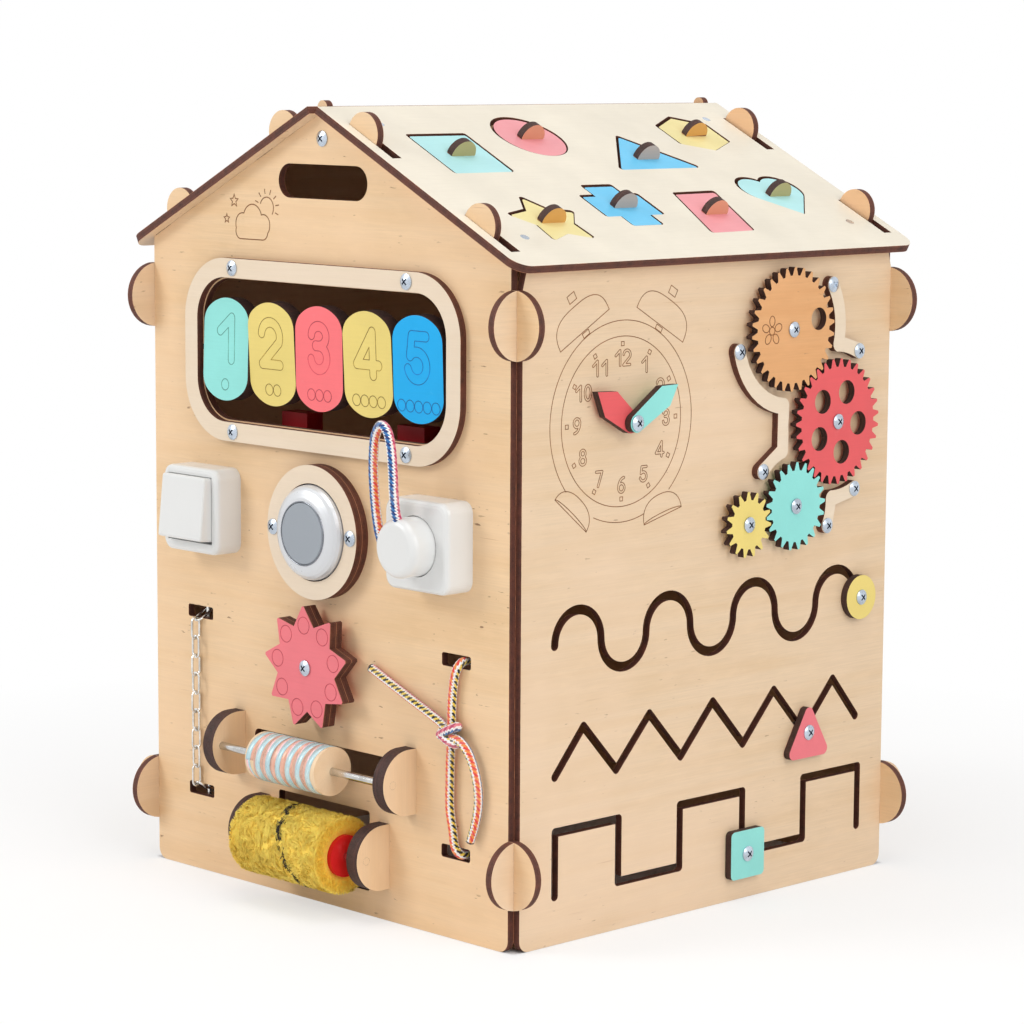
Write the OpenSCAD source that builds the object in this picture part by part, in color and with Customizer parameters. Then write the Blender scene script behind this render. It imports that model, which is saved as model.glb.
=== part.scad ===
// Busy house: a plywood play house whose walls and roof carry toys for small hands.
// The front gable faces -Y, the gear and clock wall faces +X, and the floor is z = 0.

/* [House] */
// Width across the outer faces of the side walls
body_w = 420; // [404:1:450]
// Depth across the outer faces of the gable walls
body_d = 420; // [404:1:450]
// Thickness of the plywood walls
wall_t = 6; // [5:0.5:7]
// Radius of the round ears that lap at the corners
ear_r = 25.5; // [22:0.5:28]
// Rounding of the walls' bottom corners
foot_r = 9; // [3:0.5:15]
// Length of the carrying slot in each gable
handle_w = 101.5; // [85:0.5:110]
// Height of the carrying slot
handle_h = 26; // [22:0.5:28]
// Distance from the apex down to the carrying slot's centre
handle_down = 59.3; // [56:0.1:62]

/* [Front wall layout] */
// Height of the furry roller's axis
lower_z = 50; // [48:0.5:52]
// Gap between the two rollers
roller_gap = 12.85; // [12:0.05:14]
// Gap between the wooden roller and the star dial
star_gap = 7.65; // [7:0.05:10]
// Gap between the star dial and the push light
light_gap = 4.9; // [4:0.1:8]
// Gap above and below the window frame
window_gap = 8.75; // [8:0.25:12]

/* [Roof] */
// Slope of the roof in degrees
pitch = 26.565; // [25:0.005:28]
// Thickness of the roof panels
roof_t = 6; // [5:0.5:7]
// Overhang of the roof past the side walls
eave_over = 13; // [8:0.5:18]
// Overhang of the roof past the gables
gable_over = 10; // [6:0.5:16]
// Gap from the ridge line to each panel's upper edge
ridge_gap = 6.5; // [5:0.5:8]
// Radius of the round tabs that stand through the roof
tab_r = 16.5; // [14:0.5:18]
// Thickness of the tray behind the puzzle
tray_t = 4; // [3:0.5:6]

/* [Number cards] */
// Width of the window
window_w = 286; // [284:0.5:290]
// Height of the window
window_h = 112.5; // [108:0.5:114]
// Radius of the window's corners
window_r = 33; // [28:0.5:38]
// Width of the frame's rim
frame_rim = 15; // [13:0.5:16]
// Thickness of the frame
frame_t = 6; // [5:0.5:7]
// Number of cards
card_count = 5; // [5:1:5]
// Gap between two cards
card_gap = 1.2; // [0.8:0.1:4]
// Height of a card
card_h = 80; // [74:0.5:84]
// Thickness of a card
card_t = 12; // [9:0.5:13]
// Diameter of the rod that the cards turn on
rod_d = 4; // [3:0.25:4.5]

/* [Wall plates] */
// Side of the square plates
plate_w = 67.5; // [64:0.5:72]
// Depth of the switch plate
switch_d = 24; // [22:0.5:26]
// Depth of the socket plate
socket_d = 26; // [24:0.5:28]
// Width of the rocker
rocker_w = 53; // [48:0.5:54]
// Height of the rocker
rocker_h = 50; // [46:0.5:51]
// Tilt of the rocker either way, in degrees
rocker_tilt = 6; // [4:0.5:6]
// Diameter of the plug
plug_d = 44; // [38:0.5:46]
// Distance from the wall to the plug's front
plug_front = 47; // [42:0.5:52]

/* [Push light] */
// Outer radius of the wooden ring
ring_r = 51.5; // [50:0.5:54]
// Inner radius of the wooden ring
ring_bore_r = 37.5; // [35:0.25:38.5]
// Radius of the lens
lens_r = 23.5; // [20:0.25:26]
// Travel of the lens when pressed
lens_travel = 3; // [2:0.5:4]

/* [Star dial] */
// Number of tips
star_tips = 9; // [6:1:12]
// Radius at the tips
star_r = 47.3; // [42:0.1:49]
// Thickness of the dial
star_t = 12; // [9:0.5:15]

/* [Rollers] */
// Distance from the wall's face to the rollers' axes
roller_out = 23.3; // [22:0.1:25]
// Radius of the wooden roller
roller_r = 18.75; // [16:0.25:20]
// Length of the wooden roller
roller_len = 80.7; // [70:0.1:100]
// Radius over the fur
fur_r = 31; // [28:0.5:32]
// Length of the furry roller
fur_len = 102; // [90:1:106]
// Diameter of the rollers' axles
axle_d = 6; // [5:0.25:8]
// Thickness of the side plates
bracket_t = 12; // [9:0.5:14]
// Height of the side plates
bracket_h = 50; // [46:1:52]
// Diameter of the wire of the chain
wire_d = 2; // [1.5:0.1:2.2]
// Diameter of the rope
rope_d = 7; // [6:0.25:7.5]

/* [Clock and gears] */
// Length of the hour hand from its pivot
hour_len = 43; // [38:0.5:48]
// Length of the minute hand from its pivot
minute_len = 50.5; // [44:0.5:56]
// Pitch of the teeth as a gear module
gear_m = 3; // [2.8:0.05:3.05]
// Teeth on the big gear
big_teeth = 30; // [30:1:30]
// Teeth on the pink gear
pink_teeth = 31; // [31:1:31]
// Teeth on the teal gear
teal_teeth = 21; // [21:1:21]
// Teeth on the small gear
small_teeth = 15; // [15:1:15]
// Thickness of the gears and hands
gear_t = 6; // [4:0.5:7]
// Gap between a gear and the wall
gear_lift = 3.5; // [2.5:0.25:5]
// Width of the guards beside the gears
guard_band = 12.5; // [12:0.5:15]

/* [Sliding shapes] */
// Width of the wavy slot
wave_w = 7.5; // [6.5:0.1:8.5]
// Width of the zigzag and stepped slots
track_w = 7; // [6.5:0.1:8]
// Diameter of the round slider
round_d = 35.3; // [30:0.1:38]
// Side of the square slider
square_w = 38; // [32:0.5:42]
// Width of the triangular slider
tri_w = 45; // [40:0.5:50]

/* [Puzzle] */
// Radius of the half-round knobs
knob_r = 12; // [9:0.5:14]
// Thickness of the knobs
knob_t = 6; // [4:0.5:8]
// Gap all round a puzzle piece
puzzle_gap = 0.9; // [0.3:0.05:1.2]

/* [Hidden] */
$fn = 64;

// Fits
// Overrun of a cut past the face it opens
over = 1;
// Gap between panels that lap or rest on each other
lap_fit = 0.1;
// Running gap round a shaft, on the radius
run_fit = 0.08;
// Gap beside a piece that turns or slides
side_gap = 0.3;

// Angles
full_turn = 360;
half_turn = 180;
quarter_turn = 90;
turn_play = 0.01;
corner_step = 7.5;

// Heights on the front wall, each from the size of what lies below
plate_up = 5.2;
slot_high_up = 23.2;
slot_low_up = 15.5;
upper_z = lower_z + fur_r + roller_gap + roller_r;
star_z = upper_z + roller_r + star_gap + star_r;
light_z = star_z + star_r + light_gap + ring_r;
plate_z = light_z + plate_up;
window_z = light_z + ring_r + window_gap + frame_rim + window_h / 2;
wall_h = window_z + window_h / 2 + frame_rim + window_gap;
slot_high_z = star_z + slot_high_up;
slot_low_z = lower_z + slot_low_up;

// Places across the front wall as shares of its width
plate_share = 0.31369;
chain_share = 0.35357;
plate_x = plate_share * body_w;
chain_x = chain_share * body_w;

// House
half_w = body_w / 2;
half_d = body_d / 2;
inner_w = half_w - wall_t;
inner_d = half_d - wall_t;
ear_x = half_w - wall_t / 2;
ear_y = half_d - wall_t / 2;
slope = tan(pitch);
eave_rest = 0.6;
// Height of the line where the two roof tops would meet
apex_z = wall_h + half_w * slope + roof_t / cos(pitch) + eave_rest;
handle_z = apex_z - handle_down;
ear_high_share = 0.91525;
ear_low_share = 0.11665;
ear_high_z = ear_high_share * wall_h;
ear_low_z = ear_low_share * wall_h;
eave_cut_w = 4.5;
eave_cut_h = 16.5;
// The furry roller reaches furthest forward, so the middle of the whole depth lies ahead of the walls'
front_reach = half_d + roller_out + fur_r;
back_reach = ear_y + ear_r;
mid_y = (front_reach - back_reach) / 2;

// Roof
roof_len = (half_w + eave_over) / cos(pitch);
roof_half = half_d + gable_over;
roof_corner_r = 14;
tab_at_shares = [0.2167, 0.8138];
tab_slot_len = 54.6;
tab_slot_gap = 0.5;
tab_slot_w = 9;
apex_tab_r = 5.5;
apex_tab_top = 1.7;
tray_margin = 10;
tray_y_share = 0.81818;
tray_s_shares = [0.14038, 0.83828];
tray_y = tray_y_share * roof_half;
tray_s = tray_s_shares * roof_len;
tray_screw_r = 3.5;
tray_screw_h = 2.5;

// Screws
screw_r = 6;
screw_rim = 0.8;
screw_dome = 1.8;
shank_r = 1.5;
shank_fit = 0.05;
cross_len = 6;
cross_w = 1.2;
cross_d = 1.2;
apex_screw_down = 26.8;
apex_screw_z = apex_z - apex_screw_down;

// Number cards
reveal = 1;
open_w = window_w - 2 * reveal;
open_h = window_h - 2 * reveal;
card_margin = 4;
card_pitch = (open_w - 2 * card_margin) / card_count;
card_w = card_pitch - card_gap;
card_end_share = 0.425;
card_corner_share = 0.2963;
rod_fit = 0.1;
rod_in = rod_d / 2 + rod_fit;
rod_past = 12;
card_tilts = [-2, 3, 1, 3, 2];
frame_screw_share = 0.34965;
frame_screw_x = frame_screw_share * window_w;
frame_screw_z = window_h / 2 + frame_rim / 2;
stop_share = 0.23592;
stop_x = stop_share * open_w;
stop_w = 30;
stop_top = 7.25;
stop_back = 23;
stop_d = 16;
stop_h = 38;
stop_step = 12;

// Wall plates
plate_r = 9;
plate_edge = 4;
rocker_up = 1.2;
rocker_z = plate_z + rocker_up;
rocker_front = 17;
rocker_back = 4;
rocker_pivot = 16;
rocker_side = 0.8;
rocker_end = 1.4;
rocker_edge = 2;
recess_d = 16;
trunnion_r = 2.5;
trunnion_len = 3;
socket_floor = 12;
socket_gap = 0.6;
pin_r = 2;
pin_len = 9;
pin_x = 9.5;
pin_fit = 0.3;
pin_end = 1;
plug_edge = 6;

// Push light
ring_layer = 6;
case_fit = 0.3;
case_gap = 0.9;
case_r = ring_bore_r - case_gap;
case_seat = 0.7;
can_r = case_r - case_seat;
can_d = 22;
can_wall = 2;
dome_h = 9;
lens_bore_r = lens_r + case_fit;
lens_t = 5;
lens_crown = 0.6;
dome_steps = 6;
dome_t = 2;
board_r = case_r - dome_t - case_fit;
board_t = 1.6;
board_w = 6;
cell_r = 5.25;
cell_len = 44.5;
cell_gap = 0.3;
led_r = 2.5;
led_h = 3;
led_ring_r = 14;
ring_screw_x = (ring_r + ring_bore_r) / 2;

// Star dial
star_valley_share = 0.708;
star_phase = 93.4;
star_blunt = 1.4;
spacer_r = 12;
spacer_t = 6;
bolt_r = 3;
nut_r = 5.5;
nut_t = 4;
washer_r = 7;
washer_t = 1.2;

// Rollers
bracket_flat = 8;
upper_bracket_x = [-100, 99];
lower_bracket_x = [-69.5, 69.5];
tenon_h = 14;
tenon_at_share = 0.28;
wood_x = -3.35;
ribbon_t = 0.25;
upper_slot_w = 164;
upper_slot_h = 24;
upper_slot_r = 5;
upper_slot_up = 0.9;
lower_slot_w = 106;
lower_slot_h = 62;
core_r = 16;
core_lip = 2;

// Chain and rope
slot_w = 31;
slot_h = 10;
slot_r = 2;
link_count = 9;
link_margin = 25;
link_run = slot_high_z - slot_low_z - link_margin;
link_pitch = link_run / (link_count - 1);
link_bow_r = 3.75;
link_play = 0.2;
link_straight = link_pitch + wire_d + link_play - 2 * link_bow_r;
link_half = link_straight / 2 + link_bow_r;
link_hook = link_bow_r - wire_d - link_play;
chain_out = 5.2;
chain_pull = 60;
chain_lean = 32;
chain_pin_r = 1.5;
chain_pin_len = 40;
chain_pin_gap = 0.05;
rope_sides = 8;
rope_steps = 2;
knot_at = [149, -217.9, 156];
knot_w = 12;
knot_d = 7.5;
knot_h = 10;

// Clock and gears, with places as shares of the wall's length and height
clock_at_shares = [-0.2419, 0.76431];
gear_at_shares = [0.18452, 0.88175];
clock_y = clock_at_shares[0] * body_d;
clock_z = clock_at_shares[1] * wall_h;
hour_share = 0.6;
minute_share = 0.7;
hour_w = 22;
minute_w = 17.5;
hour_hub_r = 8;
minute_hub_r = 7;
hour_angle = 145;
minute_angle = 31;
gear_play = 0.8;
gear_dirs = [-54.25, -127.55, -170];
addendum = 0.95 * gear_m;
dedendum = 1.15 * gear_m;
tip_share = 0.10;
root_share = 0.36;
big_phase = 4.75;
big_c = [gear_at_shares[0] * body_d, gear_at_shares[1] * wall_h];
pink_c = big_c + spacing(big_teeth, pink_teeth) * heading(gear_dirs[0]);
teal_c = pink_c + spacing(pink_teeth, teal_teeth) * heading(gear_dirs[1]);
small_c = teal_c + spacing(teal_teeth, small_teeth) * heading(gear_dirs[2]);
pink_phase = mesh_phase(big_phase, big_teeth, gear_dirs[0], pink_teeth);
teal_phase = mesh_phase(pink_phase, pink_teeth, gear_dirs[1], teal_teeth);
small_phase = mesh_phase(teal_phase, teal_teeth, gear_dirs[2], small_teeth);
finger_r = 8.75;
finger_at = 30;
finger_angle = 13;
pink_hole_r = 9.35;
pink_hole_at = 24.7;
pink_hole_angle = 137.5;
pink_holes = 5;
guard_gap = 5.15;
guard_t = 6;
guard_dirs = [194, 140, 33, 62, -65.3, -25];
guard_ends = [264, -14];
guard_bends = [106, -92];
guard_parts = 10;
hub_r = 7;

// Sliding shapes
wave_shares = [-0.40405, 0.39929];
wave_z_share = 0.44666;
wave_bends = 7;
wave_y0 = wave_shares[0] * body_d;
wave_z = wave_z_share * wall_h;
wave_step = (wave_shares[1] - wave_shares[0]) * body_d / wave_bends;
wave_r = wave_step / 2;
zig_start_shares = [-0.40143, 0.25204];
zig_end_shares = [0.40619, 0.25324];
zig_first_share = 0.07;
zig_half_share = 0.08369;
zig_top_share = 0.31964;
zig_low_share = 0.24487;
zig_start = [zig_start_shares[0] * body_d, zig_start_shares[1] * wall_h];
zig_end = [zig_end_shares[0] * body_d, zig_end_shares[1] * wall_h];
zig_y1 = zig_start[0] + zig_first_share * body_d;
zig_half = zig_half_share * body_d;
zig_top = zig_top_share * wall_h;
zig_low = zig_low_share * wall_h;
zig_count = 9;
step_low_share = 0.07318;
step_high_share = 0.16889;
step_shares = [-0.4, -0.24048, -0.08071, 0.0881, 0.25857, 0.41595];
step_low = step_low_share * wall_h;
step_high = step_high_share * wall_h;
step_ys = step_shares * body_d;
slide_lift = 0.5;
slide_t = 6;
tri_h = 40;
tri_r = 5;
square_r = 4;
round_at = [wave_y0 + wave_bends * wave_step, wave_z];
tri_at = [zig_y1 + (zig_count - 2) * zig_half, zig_low];
square_at = [step_ys[3], step_low];
stem_r = 3;

// Puzzle, where each share is [down the slope, along the ridge] from the apex line, of the roof panel's sides
puzzle_r = 2;
sq_w = 60;
sq_shares = [0.3309, -0.31364];
disc_r = 31;
disc_shares = [0.23504, -0.10136];
tri_shares = [[0.23825, 0.11545], [0.45684, 0.01273], [0.45684, 0.21773]];
tri_c_shares = [0.38104, 0.11545];
hex_shares = [[0.17849, 0.24773], [0.30282, 0.24773], [0.35697, 0.31932], [0.29681, 0.39091],
    [0.17247, 0.39091], [0.11351, 0.31818]];
hex_c_shares = [0.23664, 0.31932];
pstar_r = 34;
pstar_in_r = 20;
pstar_tips = 5;
pstar_shares = [0.74603, -0.30545];
cross_shares = [0.67584, -0.09659];
cross_span = 62;
cross_arm = 32;
slant_shares = [[0.86555, 0.02841], [0.86555, 0.13864], [0.60966, 0.17045], [0.60966, 0.06318]];
slant_c_shares = [0.73801, 0.1];
heart_a = 38.3;
heart_shares = [0.77411, 0.32045];
heart_knob_share = 0.85;
sq_at = on_panel(sq_shares);
disc_at = on_panel(disc_shares);
tri_p = [for (p = tri_shares) on_panel(p)];
tri_c = on_panel(tri_c_shares);
hex_p = [for (p = hex_shares) on_panel(p)];
hex_c = on_panel(hex_c_shares);
pstar_at = on_panel(pstar_shares);
cross_at = on_panel(cross_shares);
slant_p = [for (p = slant_shares) on_panel(p)];
slant_c = on_panel(slant_c_shares);
heart_tip = on_panel(heart_shares);

// Routes of the plug's cord and of the rope, seen in the walls' frame
cord_d = 7.5;
cord_sides = 8;
cord_steps = 3;
cord_route = [[112, -251, 299], [111, -253, 308], [110, -255, 325], [109, -256, 345], [109, -256, 362],
    [111, -256, 376], [117, -256, 384], [124, -256, 380], [128, -256, 368], [130, -256, 350],
    [131, -256, 334], [131, -254, 320], [131, -250, 312]];
rope_route = [[149, -215.5, 158], [148.5, -214.8, 170], [149, -214.6, 182], [150.5, -214.6, 194],
    [152.5, -214.6, 202], [154.5, -213.4, 207], [155, -209.5, 209.8], [155, -203, 209.8], [155, -196, 207],
    [154, -189, 200], [152, -188, 180], [152, -188, 140], [152, -188, 100], [154, -189, 76],
    [155, -196, 68], [155, -203, 65.2], [155, -209.5, 65.2], [154, -213.4, 68], [152, -214.6, 73],
    [150, -214.6, 84], [147, -214.8, 100], [147, -214.8, 120], [147.5, -215, 136], [149, -215.5, 150]];
tail_a_route = [[145, -217, 160], [136, -216.5, 164.5], [110, -215.5, 174], [85, -214.5, 183],
    [59, -214, 193]];
tail_b_route = [[152, -219, 154], [160, -218, 153], [168, -217, 146], [174, -216, 134], [177.5, -215.5, 120],
    [177.5, -215, 106], [174, -215, 91], [169, -215, 78]];
tail_end_d = 4.4;

function on_panel(shares) = [shares[0] * roof_len, shares[1] * 2 * roof_half];
function heading(a) = [cos(a), sin(a)];
function spacing(a, b) = gear_m * (a + b) / 2 + gear_play;
function mesh_phase(phase, teeth, dir, other) = dir + 180 - (phase - dir) * teeth / other + 180 / other;
function outer_r(teeth) = gear_m * teeth / 2 + addendum;
function beside(c, teeth, a) = c + (outer_r(teeth) + guard_gap + guard_band / 2) * heading(a);
function slant(p, q) = atan2(q[1] - p[1], q[0] - p[0]);
function unit(v) = v / norm(v);
function turned(a, b) = let(t = (b - a + 2 * full_turn) % full_turn)
    t > half_turn + turn_play ? t - full_turn : t;
// A corner of an outline moved out by r: an arc where it turns left, a mitre where it turns right
function corner(before, at, after, r) = let(from = slant(before, at), t = turned(from, slant(at, after)),
    parts = ceil(t / corner_step)) t > 0
    ? [for (k = [0:parts]) at + r * heading(from - quarter_turn + t * k / parts)]
    : [at + r / cos(t / 2) * heading(from - quarter_turn + t / 2)];
// A smooth curve through a route's points
function bend(a, b, c, d, t) = 0.5 * (2 * b + (c - a) * t + (2 * a - 5 * b + 4 * c - d) * t * t
    + (3 * b - a - 3 * c + d) * t * t * t);
function smooth(p, steps) = [for (i = [0:len(p) - 2], k = [0:steps - 1])
    bend(p[max(i - 1, 0)], p[i], p[i + 1], p[min(i + 2, len(p) - 1)], k / steps), p[len(p) - 1]];
function ahead(p, i) = unit(p[min(i + 1, len(p) - 1)] - p[max(i - 1, 0)]);

// Frames: on a wall x runs along it, y up it and z out of it
module on_front() translate([0, mid_y - half_d, 0]) rotate([90, 0, 0]) children();
module on_rear() translate([0, mid_y + half_d, 0]) rotate([90, 0, 180]) children();
module on_right() translate([half_w, mid_y, 0]) rotate([90, 0, 90]) children();
module on_left() translate([-half_w, mid_y, 0]) rotate([90, 0, -90]) children();
module on_roof() translate([0, mid_y, apex_z]) rotate([0, pitch, 0]) children();
module slab(from, to) translate([0, 0, from]) linear_extrude(to - from) children();
module wall_slab() slab(-wall_t, 0) children();

// Shared flat shapes
module round_rect(w, h, r) {
    square([w - 2 * r, h], center = true);
    square([w, h - 2 * r], center = true);
    for (x = [-1, 1], y = [-1, 1])
        translate([x * (w / 2 - r), y * (h / 2 - r)]) circle(r);
}
module bar(p, q, r) {
    translate(p) circle(r);
    translate(q) circle(r);
    translate(p) rotate(slant(p, q)) translate([0, -r]) square([norm(q - p), 2 * r]);
}
// A counterclockwise outline grown by r, with round outer corners
module grown(points, r) polygon([for (i = [0:len(points) - 1])
    each corner(points[(i + len(points) - 1) % len(points)], points[i], points[(i + 1) % len(points)], r)]);
// A band of half width r along a path, with round ends
module track(path, r) grown(concat(path, [for (i = [len(path) - 2:-1:1]) path[i]]), r);

// Shared fasteners, standing on z = 0 with the shank going down by depth
module pan_head(r) {
    cap = screw_dome;
    ball = (r * r + cap * cap) / (2 * cap);
    difference() {
        union() {
            cylinder(r = r, h = screw_rim);
            intersection() {
                translate([0, 0, screw_rim + cap - ball]) sphere(ball);
                translate([0, 0, screw_rim]) cylinder(r = r, h = cap + over);
            }
        }
        for (a = [45, 135])
            rotate(a) translate([-cross_len / 2, -cross_w / 2, screw_rim + cap - cross_d])
                cube([cross_len, cross_w, cross_d + over]);
    }
}
module wood_screw(depth) {
    pan_head(screw_r);
    translate([0, 0, -depth]) cylinder(r = shank_r, h = depth);
}
// A bolt through the wall, with its head's underside at z = head and a nut behind the wall
module wall_bolt(head) {
    back = wall_t + washer_t + nut_t;
    translate([0, 0, head]) pan_head(screw_r);
    translate([0, 0, -back]) cylinder(r = bolt_r, h = head + back);
    translate([0, 0, -wall_t - washer_t]) cylinder(r = washer_r, h = washer_t);
    translate([0, 0, -back]) cylinder(r = nut_r, h = nut_t, $fn = 6);
}

// Gable walls
module foot_rounding(w, side) {
    translate([side * w, 0]) mirror([side > 0 ? 1 : 0, 0]) difference() {
        translate([-over, -over]) square(foot_r + over);
        translate([foot_r, foot_r]) circle(foot_r);
    }
}
module ears(x, lap_up) {
    for (side = [-1, 1], z = [ear_high_z, ear_low_z])
        translate([side * x, z]) difference() {
            circle(ear_r);
            translate([-wall_t / 2 - lap_fit, lap_up ? 0 : -ear_r - over])
                square([wall_t + 2 * lap_fit, ear_r + over]);
            translate([side > 0 ? -ear_r - over : wall_t / 2, -ear_r - over])
                square([ear_r + over - wall_t / 2, 2 * (ear_r + over)]);
        }
}
module slope_frame(side) translate([0, apex_z]) mirror([side > 0 ? 0 : 1, 0]) rotate(-pitch) children();
module gable_2d() {
    difference() {
        union() {
            translate([-inner_w, 0]) square([2 * inner_w, apex_z - roof_t / cos(pitch)]);
            bar([0, handle_z], [0, apex_z + apex_tab_top - apex_tab_r], apex_tab_r);
        }
        for (side = [-1, 1]) {
            slope_frame(side) translate([ridge_gap - lap_fit, -roof_t - lap_fit])
                square([roof_len, roof_len]);
            foot_rounding(inner_w, side);
        }
        bar([-(handle_w - handle_h) / 2, handle_z], [(handle_w - handle_h) / 2, handle_z], handle_h / 2);
    }
    for (side = [-1, 1], share = tab_at_shares)
        slope_frame(side) translate([share * half_w / cos(pitch), 0]) {
            circle(tab_r);
            translate([-tab_r, -tab_r]) square([2 * tab_r, tab_r]);
        }
    ears(ear_x, false);
}
module tenons(x, z, grow) {
    for (at = x, up = [-1, 1])
        translate([at, z + up * tenon_at_share * bracket_h])
            square([bracket_t + 2 * grow, tenon_h + 2 * grow], center = true);
}
module front_holes_2d() {
    translate([0, window_z]) round_rect(open_w, open_h, window_r - reveal);
    translate([0, light_z]) circle(can_r + case_fit);
    translate([0, star_z]) circle(bolt_r + shank_fit);
    for (side = [-1, 1], z = [slot_high_z, slot_low_z])
        translate([side * chain_x, z]) round_rect(slot_w, slot_h, slot_r);
    translate([0, upper_z + upper_slot_up])
        round_rect(upper_slot_w, upper_slot_h, upper_slot_r);
    translate([0, lower_z]) round_rect(lower_slot_w, lower_slot_h, slot_r);
    tenons(upper_bracket_x, upper_z, lap_fit);
    tenons(lower_bracket_x, lower_z, lap_fit);
    for (x = [-1, 1], z = [-1, 1])
        translate([x * frame_screw_x, window_z + z * frame_screw_z]) circle(shank_r + shank_fit);
    for (x = [-1, 1]) translate([x * ring_screw_x, light_z]) circle(shank_r + shank_fit);
    translate([0, apex_screw_z]) circle(shank_r + shank_fit);
}
module front_wall() color([0.90, 0.78, 0.62]) on_front() difference() {
    wall_slab() difference() {
        gable_2d();
        front_holes_2d();
    }
    translate([-open_w / 2 - rod_past - rod_fit, window_z - rod_in, -2 * rod_in])
        cube([open_w + 2 * (rod_past + rod_fit), 2 * rod_in, 2 * rod_in + over]);
}
module rear_wall() color([0.90, 0.78, 0.62]) on_rear() wall_slab() gable_2d();

// Side walls
module side_2d() {
    difference() {
        translate([-inner_d, 0]) square([2 * inner_d, wall_h]);
        for (side = [-1, 1]) {
            foot_rounding(inner_d, side);
            polygon([[side * (inner_d + over), wall_h - eave_cut_h], [side * inner_d, wall_h - eave_cut_h],
                [side * (inner_d - eave_cut_w), wall_h], [side * (inner_d - eave_cut_w), wall_h + over],
                [side * (inner_d + over), wall_h + over]]);
        }
    }
    ears(ear_y, true);
}
module left_wall() color([0.90, 0.78, 0.62]) on_left() wall_slab() side_2d();

// The three slots that the shapes slide in
wave_parts = half_turn / corner_step;
wave_points = [for (i = [0:wave_bends - 1], k = [i == 0 ? 0 : 1:wave_parts])
    [wave_y0 + (i + 0.5) * wave_step - wave_r * cos(k * corner_step),
        wave_z + (i % 2 == 0 ? 1 : -1) * wave_r * sin(k * corner_step)]];
zig_turns = [for (i = [0:zig_count - 1]) [zig_y1 + i * zig_half, i % 2 == 0 ? zig_top : zig_low]];
zig_points = concat([zig_start], zig_turns, [zig_end]);
step_points = [[step_ys[0], step_low], [step_ys[0], step_high], [step_ys[1], step_high],
    [step_ys[1], step_low], [step_ys[2], step_low], [step_ys[2], step_high], [step_ys[3], step_high],
    [step_ys[3], step_low], [step_ys[4], step_low], [step_ys[4], step_high], [step_ys[5], step_high],
    [step_ys[5], step_low]];
guard_screws = [beside(big_c, big_teeth, guard_dirs[0]), beside(teal_c, teal_teeth, guard_dirs[1]),
    beside(big_c, big_teeth, guard_dirs[2]), beside(pink_c, pink_teeth, guard_dirs[3]),
    beside(pink_c, pink_teeth, guard_dirs[4]), beside(teal_c, teal_teeth, guard_dirs[5])];
pivots = [[clock_y, clock_z], big_c, pink_c, teal_c, small_c];
module right_holes_2d() {
    track(wave_points, wave_w / 2);
    track(zig_points, track_w / 2);
    track(step_points, track_w / 2);
    for (p = pivots) translate(p) circle(bolt_r + shank_fit);
    for (p = guard_screws) translate(p) circle(shank_r + shank_fit);
}
module right_wall() color([0.90, 0.78, 0.62]) on_right() wall_slab() difference() {
    side_2d();
    right_holes_2d();
}

// Roof
module roof_2d() {
    translate([ridge_gap, -roof_half]) difference() {
        square([roof_len - ridge_gap, 2 * roof_half]);
        for (y = [0, 2 * roof_half])
            translate([roof_len - ridge_gap, y]) mirror([0, y > 0 ? 1 : 0]) difference() {
                translate([-roof_corner_r, -over]) square(roof_corner_r + over);
                translate([-roof_corner_r, roof_corner_r]) circle(roof_corner_r);
            }
    }
}
module tab_slots() {
    for (side = [-1, 1], share = tab_at_shares)
        translate([share * half_w / cos(pitch) - tab_r - tab_slot_gap,
            side > 0 ? half_d + tab_slot_gap - tab_slot_w : -half_d - tab_slot_gap])
            square([tab_slot_len, tab_slot_w]);
}
module tray_screw_places() for (s = tray_s, y = [-tray_y, tray_y]) translate([s, y]) children();
module left_roof_panel() color([0.96, 0.93, 0.87]) translate([0, mid_y, apex_z]) mirror([1, 0, 0])
    rotate([0, pitch, 0]) slab(-roof_t, 0) difference() {
        roof_2d();
        tab_slots();
    }

// Puzzle outlines, grown by g for the holes
module square_2d(g) translate(sq_at) round_rect(sq_w + 2 * g, sq_w + 2 * g, puzzle_r + g);
module circle_2d(g) translate(disc_at) circle(disc_r + g);
function drawn_in(points, c) = [for (p = points) p - 2 * puzzle_r * unit(p - c)];
module triangle_2d(g) grown(drawn_in(tri_p, tri_c), puzzle_r + g);
module hexagon_2d(g) grown(drawn_in(hex_p, hex_c), puzzle_r + g);
module star_2d(g) translate(pstar_at)
    grown([for (i = [0:2 * pstar_tips - 1])
        ((i % 2 == 0 ? pstar_r : pstar_in_r) - puzzle_r) * heading(half_turn + half_turn * i / pstar_tips)],
        puzzle_r + g);
module cross_2d(g) translate(cross_at) {
    round_rect(cross_span + 2 * g, cross_arm + 2 * g, puzzle_r + g);
    round_rect(cross_arm + 2 * g, cross_span + 2 * g, puzzle_r + g);
}
module slant_2d(g) grown(drawn_in(slant_p, slant_c), puzzle_r + g);
module heart_2d(g) translate(heart_tip) rotate(135) {
    translate([-g, -g]) square(heart_a + 2 * g);
    translate([heart_a, heart_a / 2]) circle(heart_a / 2 + g);
    translate([heart_a / 2, heart_a]) circle(heart_a / 2 + g);
}
module puzzle_holes() {
    square_2d(puzzle_gap);
    circle_2d(puzzle_gap);
    triangle_2d(puzzle_gap);
    hexagon_2d(puzzle_gap);
    star_2d(puzzle_gap);
    cross_2d(puzzle_gap);
    slant_2d(puzzle_gap);
    heart_2d(puzzle_gap);
}
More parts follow.
